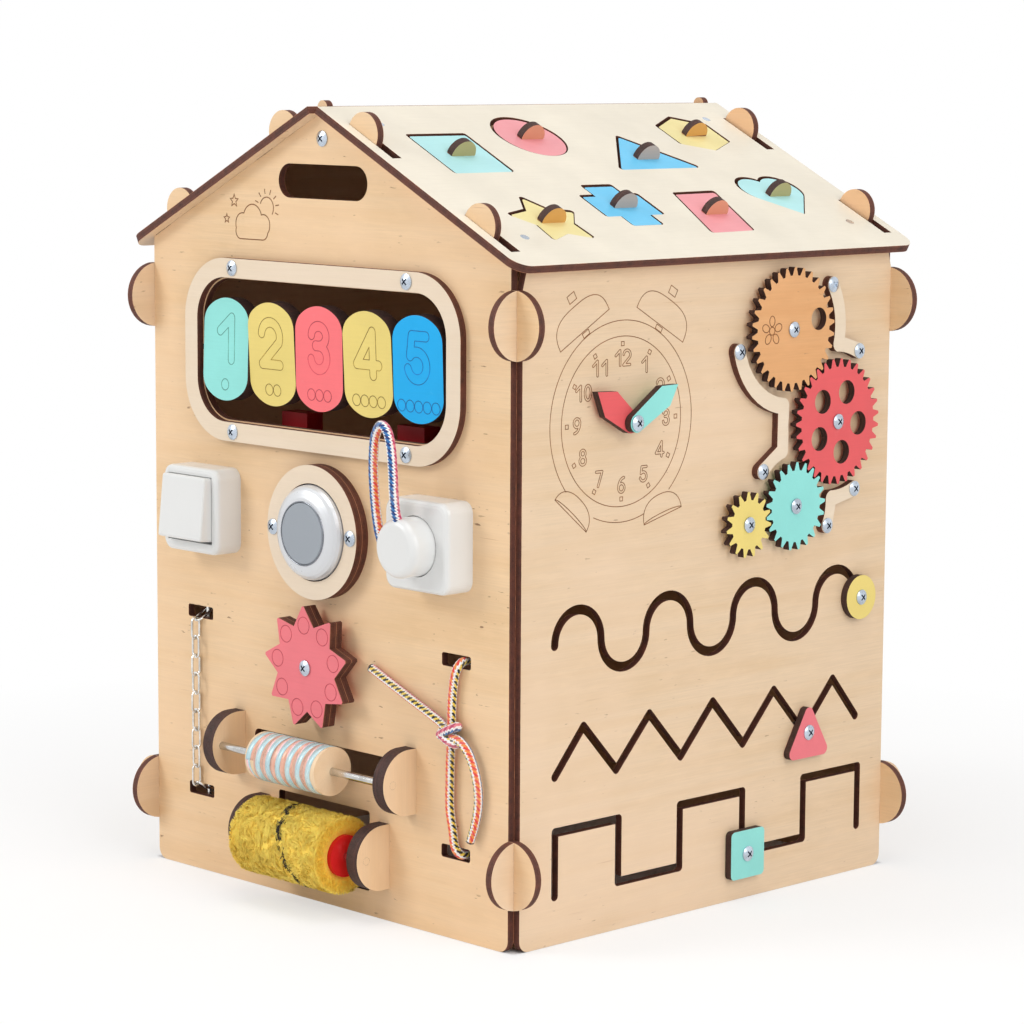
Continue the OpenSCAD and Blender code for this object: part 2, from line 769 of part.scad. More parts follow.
module right_roof_panel() color([0.96, 0.93, 0.87]) on_roof() difference() {
    slab(-roof_t, 0) difference() {
        roof_2d();
        tab_slots();
        puzzle_holes();
        tray_screw_places() circle(shank_r + shank_fit);
    }
    tray_screw_places() translate([0, 0, -tray_screw_h])
        cylinder(r = tray_screw_r + shank_fit, h = tray_screw_h + over);
}
module puzzle_tray() color([0.93, 0.84, 0.70]) on_roof() slab(-roof_t - tray_t, -roof_t) difference() {
    translate([tray_s[0] - tray_margin, -tray_y - tray_margin])
        square([tray_s[1] - tray_s[0] + 2 * tray_margin, 2 * (tray_y + tray_margin)]);
    tray_screw_places() circle(shank_r + shank_fit);
}
module knobbed(at, shade) color(shade) on_roof() {
    slab(-roof_t + side_gap, 0) children();
    translate([at[0] - knob_t / 2, at[1], 0]) rotate([90, 0, 90]) linear_extrude(knob_t)
        intersection() {
            circle(knob_r);
            translate([-knob_r, 0]) square([2 * knob_r, knob_r]);
        }
}
module square_piece() knobbed(sq_at, [0.61, 0.90, 0.87]) square_2d(0);
module circle_piece() knobbed(disc_at, [0.99, 0.50, 0.54]) circle_2d(0);
module triangle_piece() knobbed(tri_c, [0.14, 0.65, 0.94]) triangle_2d(0);
module hexagon_piece() knobbed(hex_c, [0.95, 0.88, 0.52]) hexagon_2d(0);
module star_piece() knobbed(pstar_at, [0.95, 0.88, 0.52]) star_2d(0);
module cross_piece() knobbed(cross_at, [0.14, 0.65, 0.94]) cross_2d(0);
module slant_piece() knobbed(slant_c, [0.99, 0.50, 0.54]) slant_2d(0);
module heart_piece() knobbed([heart_tip[0] - heart_knob_share * heart_a, heart_tip[1]], [0.61, 0.90, 0.87])
    heart_2d(0);

// Number cards
module window_frame() color([0.93, 0.82, 0.66]) on_front() slab(0, frame_t)
    translate([0, window_z]) difference() {
        round_rect(window_w + 2 * frame_rim, window_h + 2 * frame_rim, window_r + frame_rim);
        round_rect(window_w, window_h, window_r);
        for (x = [-1, 1], z = [-1, 1])
            translate([x * frame_screw_x, z * frame_screw_z]) circle(shank_r + shank_fit);
    }
module card_rod() color([0.75, 0.76, 0.78]) on_front() translate([0, window_z, -rod_in])
    rotate([0, 90, 0]) cylinder(d = rod_d, h = open_w + 2 * rod_past, center = true);
module card_2d() {
    end_r = card_end_share * card_h;
    corner_r = card_corner_share * card_w;
    corner_x = card_w / 2 - corner_r;
    end_y = card_h / 2 - end_r;
    corner_y = end_y + sqrt(pow(end_r - corner_r, 2) - pow(corner_x, 2));
    touch_x = corner_x * end_r / (end_r - corner_r);
    square([card_w, 2 * corner_y], center = true);
    for (x = [-1, 1], y = [-1, 1]) translate([x * corner_x, y * corner_y]) circle(corner_r);
    for (y = [-1, 1]) intersection() {
        translate([0, y * end_y]) circle(end_r);
        translate([-touch_x, y > 0 ? 0 : -card_h]) square([2 * touch_x, card_h]);
    }
}
module card(i, shade) color(shade) on_front()
    translate([(i - (card_count + 1) / 2) * card_pitch, window_z, -rod_in]) rotate([card_tilts[i - 1], 0, 0])
        difference() {
            translate([0, 0, -card_t / 2]) linear_extrude(card_t) card_2d();
            rotate([0, 90, 0]) cylinder(d = rod_d + 2 * run_fit, h = card_w + 2 * over, center = true);
        }
module card_1() card(1, [0.61, 0.90, 0.87]);
module card_2() card(2, [0.95, 0.88, 0.52]);
module card_3() card(3, [0.99, 0.50, 0.54]);
module card_4() card(4, [0.95, 0.88, 0.52]);
module card_5() card(5, [0.14, 0.65, 0.94]);
module card_stops() color([0.32, 0.02, 0.02]) {
    top = window_z - open_h / 2 + stop_top;
    for (side = [-1, 1])
        translate([side * stop_x - stop_w / 2, mid_y - half_d + wall_t, top - stop_h])
            rotate([90, 0, 90]) linear_extrude(stop_w)
                polygon([[0, 0], [stop_back + stop_d, 0], [stop_back + stop_d, stop_h], [stop_back, stop_h],
                    [stop_back, stop_h - stop_step], [0, stop_h - stop_step]]);
}

// Wall plates
// A block w by h with round corners, standing on z = 0, its front edge rounded by edge
module soft_block(w, h, r, depth, edge, $fn = 32) {
    hull() {
        linear_extrude(depth - edge) round_rect(w, h, r);
        for (a = [30, 60, 90]) {
            inset = edge * (1 - cos(a));
            translate([0, 0, depth - edge]) linear_extrude(edge * sin(a))
                round_rect(w - 2 * inset, h - 2 * inset, r - inset / 2);
        }
    }
}
module switch_plate() color([0.94, 0.94, 0.93]) on_front() difference() {
    translate([-plate_x, plate_z, 0]) soft_block(plate_w, plate_w, plate_r, switch_d, plate_edge);
    translate([-plate_x, rocker_z, switch_d - recess_d]) linear_extrude(recess_d + over)
        square([rocker_w + 2 * rocker_side, rocker_h + 2 * rocker_end], center = true);
    translate([-plate_x, rocker_z, rocker_pivot]) rotate([0, 90, 0])
        cylinder(r = trunnion_r + run_fit, h = rocker_w + 2 * (trunnion_len + side_gap), center = true);
}
module switch_rocker() color([0.94, 0.94, 0.93]) on_front()
    translate([-plate_x, rocker_z, rocker_pivot]) rotate([-rocker_tilt, 0, 0]) {
        translate([0, 0, -rocker_back])
            soft_block(rocker_w, rocker_h, rocker_edge, rocker_front + rocker_back, rocker_edge);
        rotate([0, 90, 0]) cylinder(r = trunnion_r, h = rocker_w + 2 * trunnion_len, center = true);
    }
module pin_places() for (x = [-1, 1]) translate([plate_x + x * pin_x, plate_z]) children();
module socket_plate() color([0.94, 0.94, 0.93]) on_front() difference() {
    translate([plate_x, plate_z, 0]) soft_block(plate_w, plate_w, plate_r, socket_d, plate_edge);
    translate([plate_x, plate_z, socket_floor]) cylinder(d = plug_d + 2 * socket_gap, h = socket_d);
    pin_places() translate([0, 0, socket_floor - pin_len - pin_end])
        cylinder(r = pin_r + pin_fit, h = pin_len + pin_end + over);
}
module plug() color([0.95, 0.95, 0.95]) on_front() {
    back = socket_floor + side_gap;
    translate([plate_x, plate_z, 0]) {
        translate([0, 0, back]) cylinder(d = plug_d, h = plug_front - plug_edge - back);
        translate([0, 0, plug_front - plug_edge]) {
            cylinder(d = plug_d - 2 * plug_edge, h = plug_edge);
            intersection() {
                rotate_extrude() translate([plug_d / 2 - plug_edge, 0]) circle(plug_edge);
                cylinder(d = plug_d, h = plug_edge);
            }
        }
    }
    pin_places() translate([0, 0, back - pin_len]) cylinder(r = pin_r, h = pin_len + over);
}

// Cords: rings of sides points swept along a route, of diameter d0 thinning to d1
module tube(route, steps, d0, d1, sides, across) {
    p = smooth(route, steps);
    n = len(p);
    points = [for (i = [0:n - 1], k = [0:sides - 1])
        let (t = ahead(p, i), u = unit(cross(t, across)), v = cross(t, u),
            r = (d0 + (d1 - d0) * i / (n - 1)) / 2)
        p[i] + r * (cos(360 * k / sides) * u + sin(360 * k / sides) * v)];
    faces = concat([[for (k = [0:sides - 1]) sides - 1 - k]],
        [for (i = [0:n - 2], k = [0:sides - 1]) let (a = i * sides, b = (k + 1) % sides)
            each [[a + k, a + b, a + sides + k], [a + b, a + sides + b, a + sides + k]]],
        [[for (k = [0:sides - 1]) (n - 1) * sides + k]]);
    translate([0, mid_y, 0]) polyhedron(points, faces);
}
module plug_cord() color([0.86, 0.80, 0.76]) difference() {
    tube(cord_route, cord_steps, cord_d, cord_d, cord_sides, [0, 1, 0]);
    on_front() translate([plate_x, plate_z, 0]) cylinder(d = plug_d, h = plug_front);
}

// Push light
module light_ring() color([0.93, 0.82, 0.66]) on_front() slab(0, 2 * ring_layer)
    translate([0, light_z]) difference() {
        circle(ring_r);
        circle(ring_bore_r);
        for (x = [-1, 1]) translate([x * ring_screw_x, 0]) circle(shank_r + shank_fit);
    }
module light_case() color([0.92, 0.92, 0.93]) on_front() translate([0, light_z, 0])
    rotate_extrude() {
        rim = 2 * ring_layer;
        outer = [for (i = [0:dome_steps]) let (a = 90 * i / dome_steps)
            [lens_bore_r + (case_r - lens_bore_r) * cos(a), rim + dome_h * sin(a)]];
        inner = [for (i = [dome_steps:-1:0]) let (a = 90 * i / dome_steps)
            [lens_bore_r + (case_r - lens_bore_r - dome_t) * cos(a), rim - dome_t + dome_h * sin(a)]];
        polygon(concat([[case_r, 0]], outer, inner, [[case_r - dome_t, dome_t], [can_r - can_wall, dome_t],
            [can_r - can_wall, can_wall - can_d], [0, can_wall - can_d], [0, -can_d], [can_r, -can_d],
            [can_r, 0]]));
    }
module light_lens() color([0.60, 0.63, 0.66]) on_front() translate([0, light_z, 0]) {
    front = 2 * ring_layer + dome_h + lens_crown;
    rotate_extrude() polygon([[0, front - lens_t], [lens_r, front - lens_t], [lens_r, front - lens_crown],
        [lens_r - lens_crown, front], [0, front]]);
    stem = board_w + board_t + led_h / 2 + lens_travel + side_gap;
    translate([0, 0, stem]) cylinder(r = led_r, h = front - lens_t - stem + over);
    translate([0, 0, front - lens_t - dome_t]) cylinder(r = lens_r + lens_crown + case_fit, h = dome_t);
}
module light_electronics() color([0.15, 0.45, 0.25]) on_front() translate([0, light_z, 0]) {
    translate([0, 0, board_w]) cylinder(r = board_r, h = board_t);
    for (a = [0:60:300])
        rotate(a) translate([led_ring_r, 0, board_w + board_t]) cylinder(r = led_r, h = led_h);
    translate([0, 0, board_w + board_t]) cylinder(r = led_r, h = led_h / 2);
    for (x = [-1, 0, 1]) translate([x * (2 * cell_r + cell_gap), 0, board_w - cell_r - cell_gap])
        rotate([90, 0, 0]) cylinder(r = cell_r, h = cell_len, center = true);
}

// Star dial
module star_dial() color([0.96, 0.45, 0.50]) on_front() translate([0, star_z])
    slab(spacer_t + side_gap, spacer_t + side_gap + star_t) difference() {
        intersection() {
            polygon([for (i = [0:2 * star_tips - 1])
                (i % 2 == 0 ? star_r + star_blunt : star_valley_share * star_r)
                    * heading(star_phase + 180 * i / star_tips)]);
            circle(star_r);
        }
        circle(bolt_r + run_fit);
    }
module star_spacer() color([0.93, 0.82, 0.66]) on_front() translate([0, star_z]) slab(0, spacer_t)
    difference() {
        circle(spacer_r);
        circle(bolt_r + shank_fit);
    }

// Rollers
module bracket_2d(z) difference() {
    union() {
        translate([bracket_flat, z]) circle(bracket_h / 2);
        translate([0, z - bracket_h / 2]) square([bracket_flat, bracket_h]);
        for (up = [-1, 1]) translate([-wall_t, z + up * tenon_at_share * bracket_h - tenon_h / 2])
            square([wall_t + over, tenon_h]);
    }
    translate([-2 * bracket_h, z - bracket_h]) difference() {
        square([2 * bracket_h, 2 * bracket_h]);
        for (up = [-1, 1])
            translate([2 * bracket_h - wall_t, bracket_h + up * tenon_at_share * bracket_h - tenon_h / 2])
                square([wall_t, tenon_h]);
    }
    translate([roller_out, z]) circle(axle_d / 2 + run_fit);
}
module roller_brackets() color([0.93, 0.82, 0.66]) {
    bracket_row(upper_bracket_x, upper_z);
    bracket_row(lower_bracket_x, lower_z);
}
// The side profile is drawn as [out of the wall, up] and stood along the wall
module bracket_row(places, z) for (x = places)
    translate([x + bracket_t / 2, mid_y - half_d, 0]) rotate([90, 0, -90]) linear_extrude(bracket_t)
        bracket_2d(z);
module along_wall(z) translate([0, mid_y - half_d - roller_out, z]) rotate([0, 90, 0]) children();
module upper_axle() color([0.75, 0.76, 0.78]) along_wall(upper_z)
    translate([0, 0, upper_bracket_x[0] - bracket_t / 2])
        cylinder(d = axle_d, h = upper_bracket_x[1] - upper_bracket_x[0] + bracket_t);
module lower_axle() color([0.75, 0.76, 0.78]) along_wall(lower_z)
    translate([0, 0, lower_bracket_x[0] - bracket_t / 2])
        cylinder(d = axle_d, h = lower_bracket_x[1] - lower_bracket_x[0] + bracket_t);
module wood_roller() color([0.91, 0.79, 0.63]) along_wall(upper_z) translate([0, 0, wood_x]) difference() {
    cylinder(r = roller_r, h = roller_len, center = true);
    cylinder(d = axle_d + 2 * run_fit, h = roller_len + 2 * over, center = true);
}
module roller_ribbon() color([0.75, 0.82, 0.85]) along_wall(upper_z) translate([0, 0, wood_x]) difference() {
    cylinder(r = roller_r + ribbon_t, h = roller_len, center = true);
    cylinder(r = roller_r, h = roller_len + 2 * over, center = true);
}
module fur_core() color([0.75, 0.10, 0.08]) along_wall(lower_z) difference() {
    cylinder(r = core_r, h = fur_len + 2 * core_lip, center = true);
    cylinder(d = axle_d + 2 * run_fit, h = fur_len + 2 * (core_lip + over), center = true);
}
module fur_sleeve() color([0.93, 0.70, 0.15]) along_wall(lower_z) difference() {
    cylinder(r = fur_r, h = fur_len, center = true);
    cylinder(r = core_r, h = fur_len + 2 * over, center = true);
}

// Chain: each link is a wire ring with straight sides
module link() for (up = [-1, 1]) {
    translate([0, 0, up * link_straight / 2]) rotate([90, 0, 0]) rotate(up > 0 ? 0 : 180)
        rotate_extrude(angle = 180) translate([link_bow_r, 0]) circle(d = wire_d);
    translate([up * link_bow_r, 0, 0]) cylinder(d = wire_d, h = link_straight, center = true);
}
module chain() color([0.70, 0.70, 0.71])
    translate([-chain_x, mid_y - half_d, (slot_high_z + slot_low_z) / 2]) {
        for (i = [0:link_count - 1])
            translate([0, -chain_out, link_run / 2 - i * link_pitch]) rotate(i % 2 == 0 ? 90 : 0) link();
        inward = link_hook * cos(chain_pull) + link_half * cos(chain_lean);
        rise = link_straight / 2 + link_hook * sin(chain_pull) + link_half * sin(chain_lean);
        for (up = [-1, 1]) {
            translate([0, inward - chain_out, up * (link_run / 2 + rise)])
                rotate([up * (chain_lean - 90), 0, 0]) link();
            translate([0, wall_t + chain_pin_gap + chain_pin_r, up * (slot_high_z - slot_low_z) / 2])
                cylinder(r = chain_pin_r, h = chain_pin_len, center = true);
        }
    }

// Rope
module rope_loop() color([0.86, 0.80, 0.76])
    tube(rope_route, rope_steps, rope_d, rope_d, rope_sides, [1, 0, 0]);
module rope_knot() color([0.86, 0.80, 0.76]) translate(knot_at + [0, mid_y, 0])
    scale([knot_w, knot_d, knot_h]) sphere(1, $fn = 20);
module rope_tails() color([0.86, 0.80, 0.76]) {
    tube(tail_a_route, rope_steps, rope_d, rope_d, rope_sides, [0, 1, 0]);
    tube(tail_b_route, rope_steps, rope_d, tail_end_d, rope_sides, [0, 1, 0]);
}

// Clock hands: straight sides widen from a round pivot end to width w, then run to a point
module hand_2d(len, w, share, hub) {
    wide = [share * len, w / 2];
    leave = slant([0, 0], wide) + acos(hub / norm(wide));
    arc = full_turn - 2 * leave;
    parts = ceil(arc / corner_step);
    difference() {
        polygon(concat([for (k = [0:parts]) hub * heading(leave + arc * k / parts)],
            [[wide[0], -wide[1]], [len, 0], wide]));
        circle(bolt_r + run_fit);
    }
}
hand_w0 = gear_lift;
module hour_hand() color([0.99, 0.50, 0.54]) on_right() translate([clock_y, clock_z])
    slab(hand_w0, hand_w0 + gear_t) rotate(hour_angle) hand_2d(hour_len, hour_w, hour_share, hour_hub_r);
module minute_hand() color([0.61, 0.90, 0.87]) on_right() translate([clock_y, clock_z])
    slab(hand_w0 + gear_t + side_gap, hand_w0 + 2 * gear_t + side_gap)
        rotate(minute_angle) hand_2d(minute_len, minute_w, minute_share, minute_hub_r);

// Gears
module gear_2d(teeth, phase) {
    pitch_r = gear_m * teeth / 2;
    step = 360 / teeth;
    polygon([for (i = [0:teeth - 1],
        k = [[-root_share, -1], [-tip_share, 1], [tip_share, 1], [root_share, -1]])
        (k[1] > 0 ? pitch_r + addendum : pitch_r - dedendum) * heading(phase + (i + k[0]) * step)]);
}
module gear(c, teeth, phase) on_right() translate(c) slab(gear_lift, gear_lift + gear_t) difference() {
    gear_2d(teeth, phase);
    circle(bolt_r + run_fit);
    children();
}
module big_gear() color([0.88, 0.69, 0.45]) gear(big_c, big_teeth, big_phase)
    translate(finger_at * heading(finger_angle)) circle(finger_r);
module pink_gear() color([0.89, 0.35, 0.43]) gear(pink_c, pink_teeth, pink_phase)
    for (i = [0:pink_holes - 1])
        rotate(pink_hole_angle + 360 * i / pink_holes) translate([pink_hole_at, 0]) circle(pink_hole_r);
module teal_gear() color([0.61, 0.90, 0.87]) gear(teal_c, teal_teeth, teal_phase);
module small_gear() color([0.95, 0.88, 0.52]) gear(small_c, small_teeth, small_phase);
// Points beside the big gear from one direction to another
function bent_round(from, to) = [for (k = [0:guard_parts])
    beside(big_c, big_teeth, from + (to - from) * k / guard_parts)];
guard_paths = [
    concat(bent_round(guard_dirs[0], guard_ends[0]),
        [beside(teal_c, teal_teeth, guard_bends[0]), guard_screws[1]]),
    concat(bent_round(guard_dirs[2], guard_ends[1]), [guard_screws[3]]),
    [guard_screws[4], beside(pink_c, pink_teeth, guard_bends[1]), guard_screws[5]]];
module guards_2d() difference() {
    for (path = guard_paths) track(path, guard_band / 2);
    translate(pink_c) circle(outer_r(pink_teeth) + guard_gap);
    translate(teal_c) circle(outer_r(teal_teeth) + guard_gap);
    for (p = guard_screws) translate(p) circle(shank_r + shank_fit);
}
module gear_guards() color([0.93, 0.82, 0.66]) on_right() slab(0, guard_t) guards_2d();

// Fasteners
module pivot_bolts() color([0.62, 0.63, 0.65]) {
    gear_head = gear_lift + gear_t + side_gap;
    hand_head = hand_w0 + 2 * gear_t + 2 * side_gap;
    on_right() for (p = pivots) {
        translate(p) wall_bolt(p == pivots[0] ? hand_head : gear_head);
        translate([p[0], p[1], 0]) cylinder(r = hub_r, h = gear_lift - side_gap);
    }
    on_front() translate([0, star_z]) wall_bolt(spacer_t + star_t + 2 * side_gap);
}
module panel_screws() color([0.62, 0.63, 0.65]) {
    on_front() {
        for (x = [-1, 1], z = [-1, 1])
            translate([x * frame_screw_x, window_z + z * frame_screw_z, frame_t])
                wood_screw(frame_t + wall_t);
        for (x = [-1, 1]) translate([x * ring_screw_x, light_z, 2 * ring_layer])
            wood_screw(2 * ring_layer + wall_t);
        translate([0, apex_screw_z, 0]) wood_screw(wall_t);
    }
    on_right() for (p = guard_screws) translate([p[0], p[1], guard_t]) wood_screw(guard_t + wall_t);
    on_roof() tray_screw_places() {
        translate([0, 0, -tray_screw_h]) cylinder(r = tray_screw_r, h = tray_screw_h);
        translate([0, 0, -roof_t - tray_t]) cylinder(r = shank_r, h = roof_t + tray_t);
    }
}

// Sliding shapes, each a plate in front of the wall held by a bolt through its slot
module round_slider() color([0.95, 0.88, 0.52]) on_right() translate(round_at)
    slab(slide_lift, slide_lift + slide_t) difference() {
        circle(d = round_d);
        circle(stem_r + shank_fit);
    }
module triangle_slider() color([0.89, 0.35, 0.43]) on_right() translate(tri_at)
    slab(slide_lift, slide_lift + slide_t) difference() {
        grown([[-tri_w / 2 + tri_r, -tri_h / 2 + tri_r], [tri_w / 2 - tri_r, -tri_h / 2 + tri_r],
            [0, tri_h / 2 - tri_r]], tri_r);
        circle(stem_r + shank_fit);
    }
module square_slider() color([0.61, 0.90, 0.87]) on_right() translate(square_at)
    slab(slide_lift, slide_lift + slide_t) difference() {
        round_rect(square_w, square_w, square_r);
        circle(stem_r + shank_fit);
    }
module slide_bolt(at) color([0.62, 0.63, 0.65]) on_right() translate(at) {
    back = wall_t + slide_lift + washer_t + nut_t;
    translate([0, 0, slide_lift + slide_t]) pan_head(screw_r);
    translate([0, 0, -back]) cylinder(r = stem_r, h = slide_lift + slide_t + back);
    translate([0, 0, -wall_t - slide_lift - washer_t]) cylinder(r = washer_r, h = washer_t);
    translate([0, 0, -back]) cylinder(r = nut_r, h = nut_t, $fn = 6);
}
module round_bolt() slide_bolt(round_at);
module triangle_bolt() slide_bolt(tri_at);
module square_bolt() slide_bolt(square_at);

front_wall();
rear_wall();
left_wall();
right_wall();
right_roof_panel();
left_roof_panel();
puzzle_tray();
window_frame();
card_rod();
card_stops();
card_1();
card_2();
card_3();
card_4();
card_5();
switch_plate();
switch_rocker();
light_ring();
light_case();
light_lens();
light_electronics();
socket_plate();
plug();
plug_cord();
star_dial();
star_spacer();
roller_brackets();
upper_axle();
lower_axle();
wood_roller();
roller_ribbon();
fur_core();
fur_sleeve();
chain();
rope_loop();
rope_knot();
rope_tails();
hour_hand();
minute_hand();
big_gear();
pink_gear();
teal_gear();
small_gear();
gear_guards();
pivot_bolts();
panel_screws();
round_slider();
triangle_slider();
square_slider();
round_bolt();
triangle_bolt();
square_bolt();
square_piece();
circle_piece();
triangle_piece();
hexagon_piece();
star_piece();
cross_piece();
slant_piece();
heart_piece();
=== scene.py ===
import math

import bpy
import numpy as np
from mathutils import Matrix, Vector


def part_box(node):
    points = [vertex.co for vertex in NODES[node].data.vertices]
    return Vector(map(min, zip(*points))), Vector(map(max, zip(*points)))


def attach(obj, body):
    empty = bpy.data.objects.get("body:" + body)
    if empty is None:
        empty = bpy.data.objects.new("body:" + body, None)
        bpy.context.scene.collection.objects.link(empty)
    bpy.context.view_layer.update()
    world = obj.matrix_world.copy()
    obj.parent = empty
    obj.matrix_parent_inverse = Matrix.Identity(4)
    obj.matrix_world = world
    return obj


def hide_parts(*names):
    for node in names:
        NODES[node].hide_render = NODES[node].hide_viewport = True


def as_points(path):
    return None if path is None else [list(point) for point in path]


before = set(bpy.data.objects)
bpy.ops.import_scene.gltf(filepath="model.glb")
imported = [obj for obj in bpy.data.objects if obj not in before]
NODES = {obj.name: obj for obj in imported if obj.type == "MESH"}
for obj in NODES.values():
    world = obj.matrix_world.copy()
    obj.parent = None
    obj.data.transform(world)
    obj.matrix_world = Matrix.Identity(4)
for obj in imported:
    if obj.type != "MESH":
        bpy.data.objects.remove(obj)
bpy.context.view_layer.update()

MM = 0.001

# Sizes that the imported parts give, in millimetres
HALF_D = 210.0
FRONT_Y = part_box("front_wall")[0].y / MM
MID_Y = FRONT_Y + HALF_D
SIDE_X = 210.0
PITCH = math.radians(26.565)
ROOF_FACE = 613.8 * math.cos(PITCH)

# Directions that faces look along, and how nearly a face's own has to agree
OUT_FRONT = Vector((0, -1, 0))
OUT_SIDE = Vector((1, 0, 0))
ROOF_UP = Vector((math.sin(PITCH), 0, math.cos(PITCH)))
ROOF_DOWN = Vector((math.cos(PITCH), 0, -math.sin(PITCH)))
LEFT_ROOF_UP = Vector((-ROOF_UP.x, 0, ROOF_UP.z))
ALIGNED = 0.93

# How a puzzle piece lies in the roof, in millimetres, and what counts as near its face, in metres
PIECE_GAP = 1.3
PIECE_SINK = 0.3
PIECE_SLIDE = 1.4
NEAR = 0.3 * MM

# Places on the walls in millimetres, those of centres as (across, up)
WINDOW_Z = 421.5
CARD_PITCH = 55.2
CARD_T = 12.0
CARD_TILTS = (-2, 3, 1, 3, 2)
ROD_IN = 2.1
LIGHT_Z = 290.0
STAR_Z = 186.3
STAR_FRONT = 18.3
CLOUD = (-82, 520)
BIG_GEAR = (77.5, 442.2)
GEAR_FRONT = 9.5
CLOCK = (-101.6, 383.3)

# Rollers, in millimetres
ROLLER_Y = FRONT_Y - 23.3
WOOD_AT = (-3.35, 112.6)
WOOD_R = 18.75
FUR_Z = 50.0
FUR_CORE = 16.0
FUR_SKIN = 28.3
FUR_REACH = 30.8
FUR_HALF = 51.0

# Colours as they look in plain light, red, green and blue from 0 to 255
BIRCH = (233, 200, 158)
# Birch of the side walls, paler and less yellow than the front's: partly painted light, the sheen and the
# eave's shade on the lit side wall laid into its colour
SIDE_BIRCH_PAINTED_SHEEN = (226, 199, 166)
PALE_BIRCH = (229, 211, 187)
# Painted shade: the shares of red, green and blue that the wood keeps within the house, where the inside
# lies in shade
INSIDE_SHADE = (0.96, 0.84, 0.76)
CHAR = (82, 42, 30)
DARK_CHAR = (58, 34, 28)
CREAM = (233, 225, 208)
TEAL = (144, 220, 213)
YELLOW = (231, 209, 122)
PINK = (230, 119, 127)
CARD_PINK = (245, 116, 121)
ROSE = (224, 92, 95)
BLUE = (8, 172, 238)
# Lighter copies of four paints for the tops of the puzzle pieces on the roof: painted highlight, where the
# roof faces the light
LIT_TEAL = (180, 230, 232)
LIT_YELLOW = (236, 222, 158)
LIT_PINK = (236, 156, 162)
LIT_BLUE = (110, 199, 239)
WHITE = (221, 222, 221)


def vec(x, y, z):
    """A point given in the house's own millimetres, in metres of the frame"""
    return Vector((x, y + MID_Y, z)) * MM


def linear(rgb):
    """A screen colour as the shader's linear values"""
    shares = [c / 255 for c in rgb]
    return [s / 12.92 if s <= 0.04045 else ((s + 0.055) / 1.055) ** 2.4 for s in shares] + [1.0]


def shade(rgb, share):
    """A colour made darker or lighter by a share"""
    return tuple(min(255, c * share) for c in rgb)


def new_object(name, data):
    thing = bpy.data.objects.new(name, data)
    bpy.context.scene.collection.objects.link(thing)
    return thing


# The photograph's camera, recovered from the house's edges, in degrees, millimetres and pixels
CAMERA_TURN = (45.83, 7.785, 0.32)
CAMERA_AIM = (-10.057, 0, 284.473)
CAMERA_FAR = 2713.854
FOCUS = 3365.358
FRAME_WIDTH = 1024
SENSOR = 36


def add_camera():
    azimuth, height, roll = (math.radians(angle) for angle in CAMERA_TURN)
    back = Vector((
        math.sin(azimuth) * math.cos(height),
        -math.cos(azimuth) * math.cos(height),
        math.sin(height),
    ))
    right = (-back).cross(Vector((0, 0, 1))).normalized()
    up = right.cross(-back)
    across = right * math.cos(roll) + up * math.sin(roll)
    upward = up * math.cos(roll) - right * math.sin(roll)
    data = bpy.data.cameras.new("camera")
    data.sensor_width = SENSOR
    data.lens = FOCUS * SENSOR / FRAME_WIDTH
    data.clip_end = 50
    camera = new_object("camera", data)
    turn = Matrix((across, upward, back)).transposed().to_4x4()
    camera.matrix_world = Matrix.Translation(vec(*CAMERA_AIM) + back * CAMERA_FAR * MM) @ turn
    bpy.context.scene.camera = camera


add_camera()


